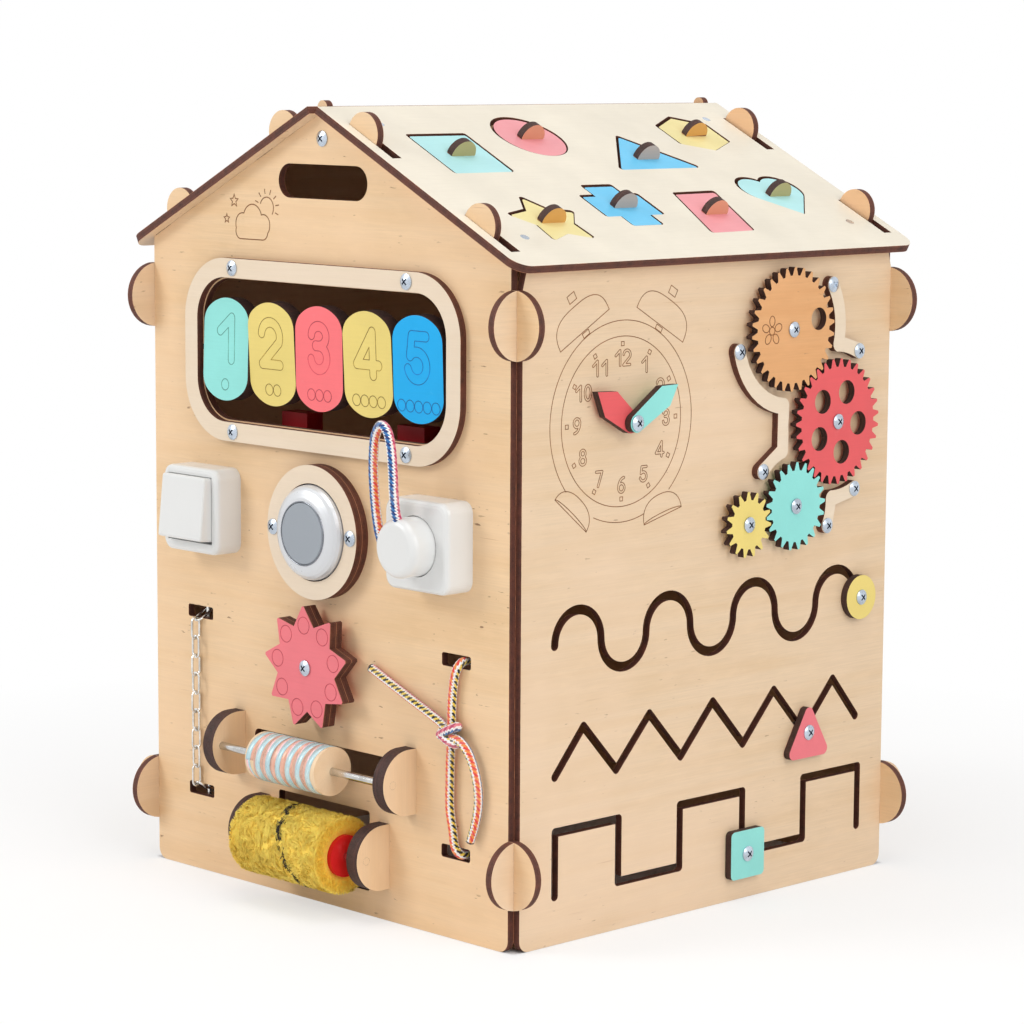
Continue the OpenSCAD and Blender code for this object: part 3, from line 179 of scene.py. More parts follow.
# Finishes
class Finish:
    """A material made of nodes round one shader"""

    def __init__(self, name, **sockets):
        self.material = bpy.data.materials.new(name)
        self.material.use_nodes = True
        self.tree = self.material.node_tree
        self.shader = self.tree.nodes["Principled BSDF"]
        for key, value in sockets.items():
            self.shader.inputs[key.replace("_", " ")].default_value = value
        self.coords = self.add("TexCoord", out="Object")

    def add(self, kind, *by_place, out=0, settings=None, **by_name):
        node = self.tree.nodes.new("ShaderNode" + kind)
        for key, value in (settings or {}).items():
            setattr(node, key, value)
        pairs = list(enumerate(by_place)) + [(k.replace("_", " "), v) for k, v in by_name.items()]
        for key, value in pairs:
            if value is None:
                continue
            if isinstance(value, bpy.types.NodeSocket):
                self.tree.links.new(value, node.inputs[key])
            else:
                node.inputs[key].default_value = value
        return node.outputs[out]

    def noise(self, scale, detail=4.0, roughness=0.55, distortion=0.0):
        """Noise whose scale is one number, or one for each axis"""
        scales = scale if isinstance(scale, tuple) else (scale,) * 3
        stretched = self.add("Mapping", Vector=self.coords, Scale=scales)
        return self.add("TexNoise", Vector=stretched, Scale=1.0, Detail=detail,
                        Roughness=roughness, Distortion=distortion)

    def math(self, operation, a, b=None):
        return self.add("Math", a, b, settings={"operation": operation})

    def spread(self, value, low, high, to_low=0.0, to_high=1.0):
        """A value from low to high brought to another range, and kept in it"""
        return self.add("MapRange", value, low, high, to_low, to_high, settings={"clamp": True})

    def mix(self, share, a, b, blend="MIX"):
        """Two colours mixed: the node takes them as its inputs 6 and 7"""
        return self.add("Mix", share, *[None] * 5, a, b, out=2,
                        settings={"data_type": "RGBA", "blend_type": blend})

    def over(self, colour, field, low, high, share, rgb):
        """A colour with up to a share of another over it as a field rises"""
        return self.mix(self.spread(field, low, high, 0.0, share), colour, linear(rgb))

    def shades(self, field, low, high, rgb, first, last):
        """A colour's shades from the first to the last as a field rises"""
        return self.mix(self.spread(field, low, high), linear(shade(rgb, first)), linear(shade(rgb, last)))

    def along(self, direction, offset=0.0):
        """Distance along a direction, in millimetres"""
        dot = self.add("VectorMath", self.coords, tuple(direction), out="Value",
                       settings={"operation": "DOT_PRODUCT"})
        return self.math("ADD", self.math("MULTIPLY", dot, 1 / MM), offset)

    def from_middle(self):
        """How far out from the house's middle, sideways and along, in millimetres"""
        x = self.math("ABSOLUTE", self.along((1, 0, 0)))
        return x, self.math("ABSOLUTE", self.along((0, 1, 0), -MID_Y))

    def distance(self, x, y):
        return self.math("SQRT", self.math("ADD", self.math("MULTIPLY", x, x), self.math("MULTIPLY", y, y)))

    def set(self, key, value):
        self.tree.links.new(value, self.shader.inputs[key])

    def done(self, colour, height, strength, distance, rough=None):
        """The material with its colour, its relief in millimetres, and what its roughness follows"""
        self.set("Base Color", colour)
        self.set("Normal", self.add("Bump", Strength=strength, Distance=distance * MM, Height=height,
                                    out="Normal"))
        if rough:
            self.set("Roughness", self.spread(*rough))
        return self.material


def grain(along, fine, coarse):
    """Texture scales that stretch a pattern along one axis"""
    return tuple(coarse if i == along else fine for i in range(3))


def wood(name, rgb, along=0, flecks=1.0, contrast=1.0, inner=False):
    """Oiled birch veneer: fibres, bands, warm patches and short dark flecks, and painted shade within the
    walls
    """
    f = Finish(name, Roughness=0.5)
    fibre = f.noise(grain(along, 900, 22), 5.0, 0.65)
    bands = f.noise(grain(along, 70, 3.2), 4.0, 0.5, 0.6)
    patches = f.noise(7, 3.0)
    mottle = f.noise(grain(along, 160, 40), 3.0, 0.6)
    red, green, blue = rgb
    colour = f.over(linear(rgb), fibre, 0.34, 0.66, 0.34 * contrast, shade(rgb, 0.88))
    colour = f.over(colour, bands, 0.42, 0.64, 0.42 * contrast, (red * 0.945, green * 0.905, blue * 0.83))
    colour = f.over(colour, patches, 0.35, 0.65, 0.5 * contrast, (red * 1.03, green * 1.025, blue * 1.05))
    colour = f.over(colour, mottle, 0.5, 0.7, 0.18 * contrast, shade(rgb, 1.05))
    if flecks:
        marks = f.noise(grain(along, 420, 95), 2.0, 0.45)
        places = f.noise(26, 1.0)
        share = f.math("MULTIPLY", f.spread(marks, 0.70, 0.76), f.spread(places, 0.5, 0.62))
        streaks = f.noise(grain(along, 330, 14), 2.0, 0.5)
        where = f.noise(15, 1.0)
        lines = f.math("MULTIPLY", f.spread(streaks, 0.72, 0.78), f.spread(where, 0.52, 0.6))
        colour = f.mix(f.math("MULTIPLY", share, 0.8 * flecks), colour, linear((120, 78, 48)))
        colour = f.mix(f.math("MULTIPLY", lines, 0.55 * flecks), colour, linear((170, 118, 72)))
    # Painted shade: the wood within the house is darkened, as the inside lies in shade
    if inner:
        within = f.math("LESS_THAN", f.math("MAXIMUM", *f.from_middle()), SIDE_X - 5.4)
        colour = f.mix(within, colour, [*INSIDE_SHADE, 1.0], "MULTIPLY")
    return f.done(colour, fibre, 0.25, 0.12, (fibre, 0.3, 0.7, 0.44, 0.58))


def char(name, direction, front, layer=6.0, rgb=CHAR, line=(138, 92, 66)):
    """Laser-cut plywood edge: scorched brown, with soot streaks and a paler glue line in each layer"""
    f = Finish(name, Roughness=0.72)
    soot = f.noise(150, 5.0, 0.6)
    speck = f.noise(900, 2.0)
    across = f.math("FRACT", f.math("MULTIPLY", f.along(direction, -front), 1 / layer))
    wobble = f.math("ADD", across, f.spread(soot, 0.3, 0.7, -0.03, 0.03))
    plies = f.math("ABSOLUTE", f.math("SUBTRACT", f.math("FRACT", f.math("MULTIPLY", wobble, 2.0)), 0.5))
    colour = f.shades(soot, 0.3, 0.7, rgb, 0.8, 1.2)
    colour = f.mix(f.spread(plies, 0.0, 0.12, 0.3, 0.0), colour, linear(line))
    glue = f.math("MINIMUM", wobble, f.math("SUBTRACT", 1.0, wobble))
    colour = f.mix(f.spread(glue, 0.0, 0.07, 0.9, 0.0), colour, linear(shade(line, 1.35)))
    colour = f.over(colour, speck, 0.6, 0.75, 0.35, shade(rgb, 0.5))
    return f.done(colour, f.math("ADD", speck, plies), 0.35, 0.15, (speck, 0.3, 0.7, 0.62, 0.85))


def paint(name, rgb, along=0):
    """Satin paint on plywood: the grain telegraphs through, with thin spots and faint rubs"""
    f = Finish(name, Roughness=0.45, Specular_IOR_Level=0.3)
    fibre = f.noise(grain(along, 700, 30), 5.0, 0.6)
    cloud = f.noise(18, 3.0)
    rub = f.noise(70, 6.0, 0.7)
    colour = f.shades(cloud, 0.3, 0.7, rgb, 0.975, 1.015)
    colour = f.over(colour, fibre, 0.45, 0.72, 0.22, shade(rgb, 0.93))
    colour = f.over(colour, rub, 0.62, 0.74, 0.16, tuple(c + (250 - c) * 0.35 for c in rgb))
    return f.done(colour, fibre, 0.22, 0.1, (rub, 0.3, 0.7, 0.38, 0.54))


def gloss(name, rgb, roughness=0.2, metallic=0.0):
    """Moulded plastic with a faint orange peel and handling marks"""
    f = Finish(name, Roughness=roughness, Metallic=metallic)
    peel = f.noise(260, 2.0)
    marks = f.noise(45, 7.0, 0.75)
    tone = f.noise(9, 2.0)
    colour = f.shades(tone, 0.3, 0.7, rgb, 0.985, 1.01)
    colour = f.over(colour, marks, 0.6, 0.8, 0.12, shade(rgb, 0.93))
    return f.done(colour, peel, 0.08, 0.1, (marks, 0.3, 0.75, roughness * 0.85, roughness * 1.35))


def metal(name, rgb, roughness=0.25, scratch=500):
    """Bright plated steel with fine scratches and duller patches"""
    f = Finish(name, Metallic=1.0, Roughness=roughness)
    lines = f.noise(scratch, 6.0, 0.7)
    patches = f.noise(120, 3.0)
    colour = f.shades(patches, 0.35, 0.65, rgb, 0.9, 1.04)
    colour = f.over(colour, lines, 0.6, 0.75, 0.4, shade(rgb, 0.75))
    return f.done(colour, lines, 0.1, 0.05, (lines, 0.3, 0.7, roughness * 0.75, roughness * 1.5))


def yarn(name, rgb):
    """Braided polyester: fine filaments across each stitch, and slight soiling"""
    f = Finish(name, Roughness=0.75, Sheen_Weight=0.25)
    thread = f.noise((1500, 1500, 500), 4.0, 0.7)
    soil = f.noise(60, 3.0)
    colour = f.over(linear(rgb), thread, 0.35, 0.65, 0.5, shade(rgb, 0.78))
    colour = f.over(colour, soil, 0.5, 0.8, 0.25, (205, 196, 186))
    return f.done(colour, thread, 0.4, 0.2)


def pile(name, root, tip, patch):
    """Long pile: deeper near the skin, amber in patches"""
    f = Finish(name, Roughness=0.8, Sheen_Weight=0.9, Sheen_Tint=linear(tip))
    patches = f.noise(34, 3.0, 0.6)
    strands = f.noise(420, 2.0)
    y = f.along((0, 1, 0), -ROLLER_Y)
    z = f.along((0, 0, 1), -FUR_Z)
    colour = f.over(linear(root), f.distance(y, z), 26.0, 29.6, 1.0, tip)
    colour = f.over(colour, patches, 0.52, 0.68, 0.75, patch)
    colour = f.over(colour, strands, 0.4, 0.7, 0.35, shade(tip, 1.12))
    return f.done(colour, strands, 0.15, 0.3)


def satin(name, rgb, other):
    """Shiny ribbon whose tint shifts along the weave"""
    f = Finish(name, Roughness=0.28, Metallic=0.15, Sheen_Weight=0.2)
    weave = f.noise((900, 200, 200), 3.0, 0.6)
    shift = f.noise((60, 90, 90), 3.0)
    colour = f.over(linear(rgb), shift, 0.42, 0.62, 1.0, other)
    colour = f.over(colour, weave, 0.4, 0.7, 0.25, shade(rgb, 1.1))
    return f.done(colour, weave, 0.15, 0.1, (weave, 0.3, 0.7, 0.2, 0.4))


def burnt(name, rgb):
    """A thin line burnt into wood or paint"""
    return char(name, OUT_FRONT, 0.0, 3.0, rgb, rgb)


FINISHES = {name: make(name, *values) for name, make, *values in (
    ("front_wood", wood, BIRCH, 0, 1.0, 1.25, True),
    ("side_wood", wood, SIDE_BIRCH_PAINTED_SHEEN, 1, 0.6, 1.15, True),
    ("pale_wood", wood, PALE_BIRCH, 0, 0.0, 0.5),
    ("pale_side_wood", wood, PALE_BIRCH, 1, 0.0, 0.5),
    ("bracket_wood", wood, (234, 204, 166), 2, 0.2),
    ("turned_wood", wood, (235, 208, 172), 0, 0.3),
    ("gear_wood", wood, (222, 166, 112), 1, 0.7),
    ("roof_paint", paint, CREAM, 1),
    ("teal_paint", paint, TEAL),
    ("yellow_paint", paint, YELLOW),
    ("pink_paint", paint, PINK),
    ("rose_paint", paint, ROSE, 1),
    ("card_pink_paint", paint, CARD_PINK),
    ("blue_paint", paint, BLUE),
    ("lit_teal_paint", paint, LIT_TEAL, 1),
    ("lit_yellow_paint", paint, LIT_YELLOW, 1),
    ("lit_pink_paint", paint, LIT_PINK, 1),
    ("lit_blue_paint", paint, LIT_BLUE, 1),
    ("red_paint", paint, (158, 2, 14)),
    ("cap_paint", paint, (206, 26, 28)),
    ("knob_olive", paint, (176, 166, 116), 1),
    ("knob_salmon", paint, (220, 154, 124), 1),
    ("knob_grey", paint, (184, 168, 158), 1),
    ("knob_amber", paint, (216, 162, 88), 1),
    ("front_char", char, OUT_FRONT, -FRONT_Y),
    ("side_char", char, OUT_SIDE, SIDE_X),
    ("roof_char", char, ROOF_UP, ROOF_FACE),
    ("left_roof_char", char, LEFT_ROOF_UP, ROOF_FACE),
    ("plain_char", char, OUT_SIDE, 0.0, 12.0, DARK_CHAR, DARK_CHAR),
    ("white_plastic", gloss, WHITE),
    ("lens_plastic", gloss, (152, 159, 167), 0.42),
    ("silver_plastic", gloss, (216, 218, 221), 0.3, 0.55),
    ("board_plastic", gloss, (40, 110, 70), 0.4),
    ("zinc", metal, (196, 206, 218), 0.24, 1500),
    ("rod_steel", metal, (208, 207, 204), 0.16, (30, 900, 900)),
    ("chrome", metal, (142, 145, 152), 0.12),
    # Painted shade: a dark steel for the screws' cross recesses
    ("recess_steel", metal, (46, 60, 84), 0.5),
    ("chain_steel", metal, (226, 225, 222), 0.18),
    ("engraved", burnt, (122, 78, 42)),
    ("teal_line", burnt, (84, 142, 132)),
    ("yellow_line", burnt, (138, 114, 46)),
    ("pink_line", burnt, (176, 62, 74)),
    ("blue_line", burnt, (12, 92, 160)),
)}


# Carried-over parts: a direction, the finish of faces that look along it, that of the rest, and the nodes
DRESSED = (
    (OUT_FRONT, "front_wood", "front_char", ("front_wall", "rear_wall")),
    (OUT_SIDE, "side_wood", "side_char", ("right_wall", "left_wall")),
    (ROOF_UP, "side_wood", "roof_char", ("puzzle_tray",)),
    (OUT_FRONT, "pale_wood", "front_char", ("window_frame", "light_ring", "star_spacer")),
    (OUT_FRONT, "pink_paint", "front_char", ("star_dial",)),
    (OUT_SIDE, "bracket_wood", "plain_char", ("roller_brackets",)),
    (OUT_SIDE, "pale_side_wood", "side_char", ("gear_guards",)),
    (OUT_SIDE, "gear_wood", "plain_char", ("big_gear",)),
    (OUT_SIDE, "rose_paint", "plain_char", ("pink_gear", "hour_hand")),
    (OUT_SIDE, "pink_paint", "plain_char", ("triangle_slider",)),
    (OUT_SIDE, "teal_paint", "plain_char", ("teal_gear", "minute_hand", "square_slider")),
    (OUT_SIDE, "yellow_paint", "plain_char", ("small_gear", "round_slider")),
    (OUT_SIDE, "bracket_wood", "rod_steel", ("upper_axle", "lower_axle")),
)
CARD_COLOURS = ("teal_paint", "yellow_paint", "card_pink_paint", "yellow_paint", "blue_paint")
ONE_FINISH = {
    "red_paint": ("card_stops",),
    "turned_wood": ("wood_roller",),
    "cap_paint": ("fur_core",),
    "white_plastic": ("switch_plate", "switch_rocker", "socket_plate", "plug"),
    "silver_plastic": ("light_case",),
    "lens_plastic": ("light_lens",),
    "board_plastic": ("light_electronics",),
    "rod_steel": ("card_rod",),
    "chain_steel": ("chain",),
}
SCREWS = ("pivot_bolts", "panel_screws", "round_bolt", "triangle_bolt", "square_bolt")
PIECES = (
    ("square_piece", "teal", "knob_olive"),
    ("heart_piece", "teal", "knob_olive"),
    ("circle_piece", "pink", "knob_salmon"),
    ("slant_piece", "pink", "knob_salmon"),
    ("triangle_piece", "blue", "knob_grey"),
    ("cross_piece", "blue", "knob_grey"),
    ("hexagon_piece", "yellow", "knob_amber"),
    ("star_piece", "yellow", "knob_amber"),
)


def take_finishes(mesh, names):
    mesh.materials.clear()
    for name in names:
        mesh.materials.append(FINISHES[name])


def dress(node, way, face, edge, back=None):
    """Finish the faces that look along a direction, those that look against it, and the rest"""
    mesh = NODES[node].data
    take_finishes(mesh, (face, back or face, edge))
    for polygon in mesh.polygons:
        along = polygon.normal.dot(way)
        polygon.material_index = 0 if along > ALIGNED else 1 if along < -ALIGNED else 2


def above_roof(point):
    return point.dot(ROOF_UP) - ROOF_FACE * MM


def loosened(node):
    """A puzzle piece's mesh as it lies in the roof: a little low, and slid down in a wider gap"""
    mesh = NODES[node].data.copy()
    tops = [p for p in mesh.polygons
            if p.normal.dot(ROOF_UP) > ALIGNED and abs(above_roof(p.center)) < NEAR]
    middle = sum((p.center * p.area for p in tops), Vector()) / sum(p.area for p in tops)
    reach = max((mesh.vertices[i].co - middle).length for p in tops for i in p.vertices)
    for vertex in mesh.vertices:
        high = above_roof(vertex.co)
        if high < NEAR:
            out = vertex.co - middle
            vertex.co -= (out - ROOF_UP * out.dot(ROOF_UP)) * (PIECE_GAP * MM / reach)
        if abs(high) < NEAR:
            vertex.co -= ROOF_UP * PIECE_SINK * MM
        vertex.co += ROOF_DOWN * PIECE_SLIDE * MM
    return mesh


def add_puzzle_piece(node, colour, knob):
    """A puzzle piece: painted top in a lighter copy of its paint as painted highlight, scorched sides, and
    a knob with a separate face colour
    """
    mesh = loosened(node)
    take_finishes(mesh, (f"lit_{colour}_paint", "roof_char", knob, "plain_char"))
    piece = new_object(f"loose_{node}", mesh)
    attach(piece, node)
    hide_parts(node)
    for polygon in mesh.polygons:
        if above_roof(polygon.center) > NEAR:
            polygon.material_index = 2 if abs(polygon.normal.dot(ROOF_DOWN)) > ALIGNED else 3
        else:
            polygon.material_index = 0 if abs(polygon.normal.dot(ROOF_UP)) > ALIGNED else 1


def islands(mesh):
    """The polygons of each separate body in a mesh"""
    keys = [tuple(round(c * 1e5) for c in vertex.co) for vertex in mesh.vertices]
    numbers = {key: i for i, key in enumerate(dict.fromkeys(keys))}
    spots = [numbers[key] for key in keys]
    parent = list(range(len(numbers)))

    def root(i):
        while parent[i] != i:
            parent[i] = parent[parent[i]]
            i = parent[i]
        return i

    for edge in mesh.edges:
        parent[root(spots[edge.vertices[0]])] = root(spots[edge.vertices[1]])
    groups = {}
    for polygon in mesh.polygons:
        groups.setdefault(root(spots[polygon.vertices[0]]), []).append(polygon)
    return list(groups.values())


# Bounds in metres that tell the screws of the roof and of the right wall from those of the front
ROOF_SCREWS_Z = 0.45
ROOF_SCREWS_IN = 0.02
SIDE_SCREWS_X = 0.18
SIDE_SCREWS_Z = 0.47


def screw_way(middle):
    """The way that a screw looks, by its place"""
    if middle.x > SIDE_SCREWS_X and middle.z < SIDE_SCREWS_Z:
        return OUT_SIDE
    if middle.z > ROOF_SCREWS_Z and middle.y > FRONT_Y * MM + ROOF_SCREWS_IN:
        return ROOF_UP
    return OUT_FRONT


def dress_screws(node, reach=3.3 * MM, deep=1.6 * MM, floor=0.8 * MM):
    """Bright screws whose cross recesses are darkened as painted shade"""
    mesh = NODES[node].data
    take_finishes(mesh, ("zinc", "recess_steel"))
    for group in islands(mesh):
        middle = sum((p.center * p.area for p in group), Vector()) / sum(p.area for p in group)
        way = screw_way(middle)
        top = max(p.center.dot(way) for p in group)
        for p in group:
            high, facing = p.center.dot(way), abs(p.normal.dot(way))
            out = p.center - middle
            wide = (out - way * out.dot(way)).length
            is_wall, is_floor = facing < 0.5, facing > 0.95 and high < top - floor
            p.material_index = int(wide < reach and high > top - deep and (is_wall or is_floor))


def tilted(degrees):
    turn = math.radians(degrees)
    return Vector((0, -math.cos(turn), -math.sin(turn)))


def dress_parts():
    for way, face, edge, nodes in DRESSED:
        for node in nodes:
            dress(node, way, face, edge)
    dress("right_roof_panel", ROOF_UP, "roof_paint", "roof_char", "side_wood")
    dress("left_roof_panel", LEFT_ROOF_UP, "roof_paint", "left_roof_char", "side_wood")
    for i, name in enumerate(CARD_COLOURS):
        dress(f"card_{i + 1}", tilted(CARD_TILTS[i]), name, "plain_char")
    for name, nodes in ONE_FINISH.items():
        for node in nodes:
            mesh = NODES[node].data
            take_finishes(mesh, (name,))
            mesh.polygons.foreach_set("material_index", [0] * len(mesh.polygons))
    for node in SCREWS:
        dress_screws(node)
    for row in PIECES:
        add_puzzle_piece(*row)


# New pieces
def add_piece(name, points, faces, finishes, body, smooth=False, indices=None):
    mesh = bpy.data.meshes.new(name)
    mesh.from_pydata([tuple(p) for p in points], [], [tuple(int(i) for i in face) for face in faces])
    for finish in finishes:
        mesh.materials.append(finish)
    if indices is not None:
        mesh.polygons.foreach_set("material_index", np.asarray(indices, dtype=np.int32))
    if smooth:
        mesh.polygons.foreach_set("use_smooth", [True] * len(mesh.polygons))
    mesh.validate()
    mesh.update()
    piece = new_object(name, mesh)
    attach(piece, body)
    return piece


def turns(count):
    """Angles set evenly round a circle"""
    return [2 * math.pi * i / count for i in range(count)]


def tube_faces(rings, sides, closed=False, start=0, flip=False):
    """Faces from each ring of points to the next, and from the last to the first in a closed tube"""
    faces = []
    for ring in range(rings if closed else rings - 1):
        low, high = start + ring * sides, start + (ring + 1) % rings * sides
        for k in range(sides):
            n = (k + 1) % sides
            if flip:
                faces.append((low + k, high + k, high + n, low + n))
            else:
                faces.append((low + k, low + n, high + n, high + k))
    return faces


# Rope: a braided sheath of four columns of two-coloured stitches, with a zigzag of white yarn between them
STITCH_PAIRS = (("navy", "blue"), ("red", "orange"), ("black", "yellow"), ("magenta", "pink"))
YARNS = {name: yarn(f"{name}_yarn", rgb) for name, rgb in (
    ("white", (252, 250, 248)),
    ("black", (26, 24, 30)),
    ("yellow", (248, 214, 84)),
    ("red", (232, 70, 66)),
    ("orange", (246, 150, 70)),
    ("navy", (22, 46, 116)),
    ("blue", (44, 120, 188)),
    ("magenta", (188, 52, 100)),
    ("pink", (232, 128, 140)),
    ("melted", (74, 58, 50)),
)}
YARN_NAMES = list(YARNS)
STITCH = 4.9
ROPE_SIDES = 48
ROPE_STEP = 0.6

# Diameters and middle lines of the ropes, and the knot round their crossing, in the house's own millimetres
CORD_D = 7.5
ROPE_D = 7.0
CORD_ROUTE = (
    (112, -251, 299), (111, -253, 308), (110, -255, 325), (109, -256, 345), (109, -256, 362),
    (111, -256, 376), (117, -256, 384), (124, -256, 380), (128, -256, 368), (130, -256, 350),
    (131, -256, 334), (131, -254, 320), (131, -250, 312),
)
ROPE_ROUTE = (
    (149, -215.5, 158), (148.5, -214.8, 170), (149, -214.6, 182), (150.5, -214.6, 194),
    (152.5, -214.6, 202), (154.5, -213.4, 207), (155, -209.5, 209.8), (155, -203, 209.8),
    (155, -196, 207), (154, -189, 200), (152, -188, 180), (152, -188, 140), (152, -188, 100),
    (154, -189, 76), (155, -196, 68), (155, -203, 65.2), (155, -209.5, 65.2), (154, -213.4, 68),
    (152, -214.6, 73), (150, -214.6, 84), (147, -214.8, 100), (147, -214.8, 120),
    (147.5, -215, 136), (149, -215.5, 150),
)
LONG_TAIL = ((145, -217, 160), (136, -216.5, 164.5), (110, -215.5, 174), (85, -214.5, 183), (59, -214, 193))
SHORT_TAIL = (
    (152, -219, 154), (160, -218, 153), (168, -217, 146), (174, -216, 134), (177.5, -215.5, 120),
    (177.5, -215, 106), (174, -215, 91), (169, -215, 78),
)
TAILS = (("tail_long", LONG_TAIL, -1.94, 0.0), ("tail_short", SHORT_TAIL, 4.68, 0.06))
KNOT_AT = (149, -217.7, 156)
KNOT_R = 3.4
KNOT_WRAPS = ((0.55, 2.6, 8.6, -1.6), (-0.45, -2.8, 7.6, -0.3))
MELTED = 1.6


def smooth_route(route, steps):
    """The same curve through the route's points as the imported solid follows, cut finer"""
    points = [np.array(p, float) for p in route]
    last = len(points) - 1
    curve = []
    for i in range(last):
        a, b = points[max(i - 1, 0)], points[i]
        c, d = points[i + 1], points[min(i + 2, last)]
        for k in range(steps):
            t = k / steps
            curve.append(0.5 * (2 * b + (c - a) * t + (2 * a - 5 * b + 4 * c - d) * t * t
                                + (3 * b - a - 3 * c + d) * t ** 3))
    curve.append(points[-1])
    return np.array(curve)


def even_spacing(curve, gap):
    """The curve's points moved to equal distances along it"""
    steps = np.linalg.norm(np.diff(curve, axis=0), axis=1)
    far = np.concatenate([[0], np.cumsum(steps)])
    count = max(2, int(round(far[-1] / gap)))
    at = np.linspace(0, far[-1], count + 1)
    return np.stack([np.interp(at, far, curve[:, i]) for i in range(3)], axis=1), at


def rope_mesh(curve, radius, turn, thin=0.0, closed=False, melted=0.0):
    """Points, faces, yarn numbers, middle line and length of a rope along a curve, in millimetres"""
    curve, at = even_spacing(curve, ROPE_STEP)
    tangents = np.gradient(curve, axis=0)
    tangents /= np.linalg.norm(tangents, axis=1)[:, None]
    side = np.cross(tangents[0], (0.0, 1.0, 0.0) if abs(tangents[0][1]) < 0.9 else (1.0, 0.0, 0.0))
    side /= np.linalg.norm(side)
    spin = (np.arange(ROPE_SIDES) * 2 * np.pi / ROPE_SIDES + turn)[:, None]
    columns = np.arange(ROPE_SIDES) / ROPE_SIDES * len(STITCH_PAIRS)
    in_column = columns - np.floor(columns) - 0.5
    points, yarns = [], []
    for centre, tangent, far in zip(curve, tangents, at):
        side = side - tangent * side.dot(tangent)
        side /= np.linalg.norm(side)
        other = np.cross(tangent, side)
        phase = far / STITCH + 0.9 * in_column
        in_stitch = phase - np.floor(phase) - 0.5
        edge = 0.33 + 0.10 * np.cos(4 * np.pi * in_stitch)
        coloured = np.abs(in_column) < edge
        across = np.where(coloured, in_column / edge, (0.5 - np.abs(in_column)) / (0.5 - edge))
        crown = (1 - across ** 2) * np.abs(np.cos(2 * np.pi * in_stitch)) ** 0.5
        out = radius * (1 - thin * (far / at[-1])) * (0.87 + 0.13 * crown)
        points.append(centre + out[:, None] * (np.cos(spin) * side + np.sin(spin) * other))
        second = np.abs(in_stitch) > 0.27
        for column, bright, late in zip(columns, coloured, second):
            name = STITCH_PAIRS[int(column)][int(late)] if bright else "white"
            yarns.append(YARN_NAMES.index("melted" if at[-1] - far < melted else name))
    faces = tube_faces(len(curve), ROPE_SIDES, closed)
    indices = yarns[:len(faces)]
    if not closed:
        last = (len(curve) - 1) * ROPE_SIDES
        faces += [tuple(range(ROPE_SIDES - 1, -1, -1)), tuple(range(last, last + ROPE_SIDES))]
        indices += [YARN_NAMES.index(name) for name in ("white", "melted" if melted else "white")]
    return np.concatenate(points), faces, indices, curve, at[-1]


def placed(points):
    """Points given in the house's own millimetres, in metres of the frame"""
    return (points + (0, MID_Y, 0)) * MM


def rope_piece(name, points, faces, indices, body):
    return add_piece(name, placed(points), faces, list(YARNS.values()), body, True, indices)


def add_rope(name, curve, radius, turn, body, **kind):
    points, faces, indices, path, length = rope_mesh(curve, radius, turn, **kind)
    return rope_piece(name, points, faces, indices, body), placed(path), length * MM


def add_knot():
    """Two turns of rope wrapped round the crossing, one leaning each way"""
    x, y, z = KNOT_AT
    points, faces, indices = np.empty((0, 3)), [], []
    for lean, drop, reach, turn in KNOT_WRAPS:
        wrap = np.array([
            (x + reach * math.cos(a), y + 3.9 * math.sin(a), z + drop + lean * 8 * math.cos(a))
            for a in turns(40)
        ])
        more, joined, yarns, _, _ = rope_mesh(wrap, KNOT_R, turn, closed=True)
        faces += [tuple(len(points) + k for k in face) for face in joined]
        points = np.concatenate([points, more])
        indices += yarns
    return rope_piece("knot", points, faces, indices, "house")


def add_ropes():
    loop, path, length = add_rope("plug_loop", smooth_route(CORD_ROUTE, 12), CORD_D / 2, 0.4, "plug")
    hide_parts("plug_cord")
    vec(*CORD_ROUTE[0])
    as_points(path)
    ring, path, length = add_rope("rope_ring", smooth_route(ROPE_ROUTE, 10), ROPE_D / 2, -0.94, "house")
    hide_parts("rope_loop")
    knot = add_knot()
    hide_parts("rope_knot")
    vec(*ROPE_ROUTE[0])
    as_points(path)
    for name, route, turn, thin in TAILS:
        tail, path, length = add_rope(name, smooth_route(route, 16), ROPE_D / 2, turn, "house",
                                      thin=thin, melted=MELTED)
        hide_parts("rope_tails")
        vec(*route[0])
        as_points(path)


add_ropes()
dress_parts()


def add_rim(radius=24.35, thick=0.55, front=21.0, around=120, across=12):
    """A bright rim round the push light's lens"""
    points = []
    for turn in turns(around):
        for tilt in turns(across):
            out = radius + thick * math.cos(tilt)
            points.append(vec(out * math.cos(turn), -HALF_D - front - thick * math.sin(tilt),
                              LIGHT_Z + out * math.sin(turn)))
    faces = tube_faces(around, across, closed=True, flip=True)
    add_piece("lens_rim", points, faces, [FINISHES["chrome"]], "house", True)


# Ribbon: a salmon band round the whole wooden roller, with blue and pink ones crossing over it; the pink
# one is painted highlight, standing for the foil's pink glints
def wound_band(name, finish, width, pitch, start, end, hand, inner, outer):
    x, z = WOOD_AT
    rounds = (end - start) / pitch
    steps = int(rounds * 72)
    points = []
    for i in range(steps + 1):
        turn = hand * 2 * math.pi * rounds * i / steps
        at = x + start + (end - start) * i / steps
        for side, out in ((-1, inner), (1, inner), (1, outer), (-1, outer)):
            across, r = at + side * width / 2, WOOD_R + out
            points.append(vec(across, ROLLER_Y - MID_Y - r * math.cos(turn), z + r * math.sin(turn)))
    faces = tube_faces(steps + 1, 4) + [(3, 2, 1, 0), tuple(4 * steps + k for k in range(4))]
    band = add_piece(name, points, faces, [finish], "wood_roller", True)
    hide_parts("roller_ribbon")


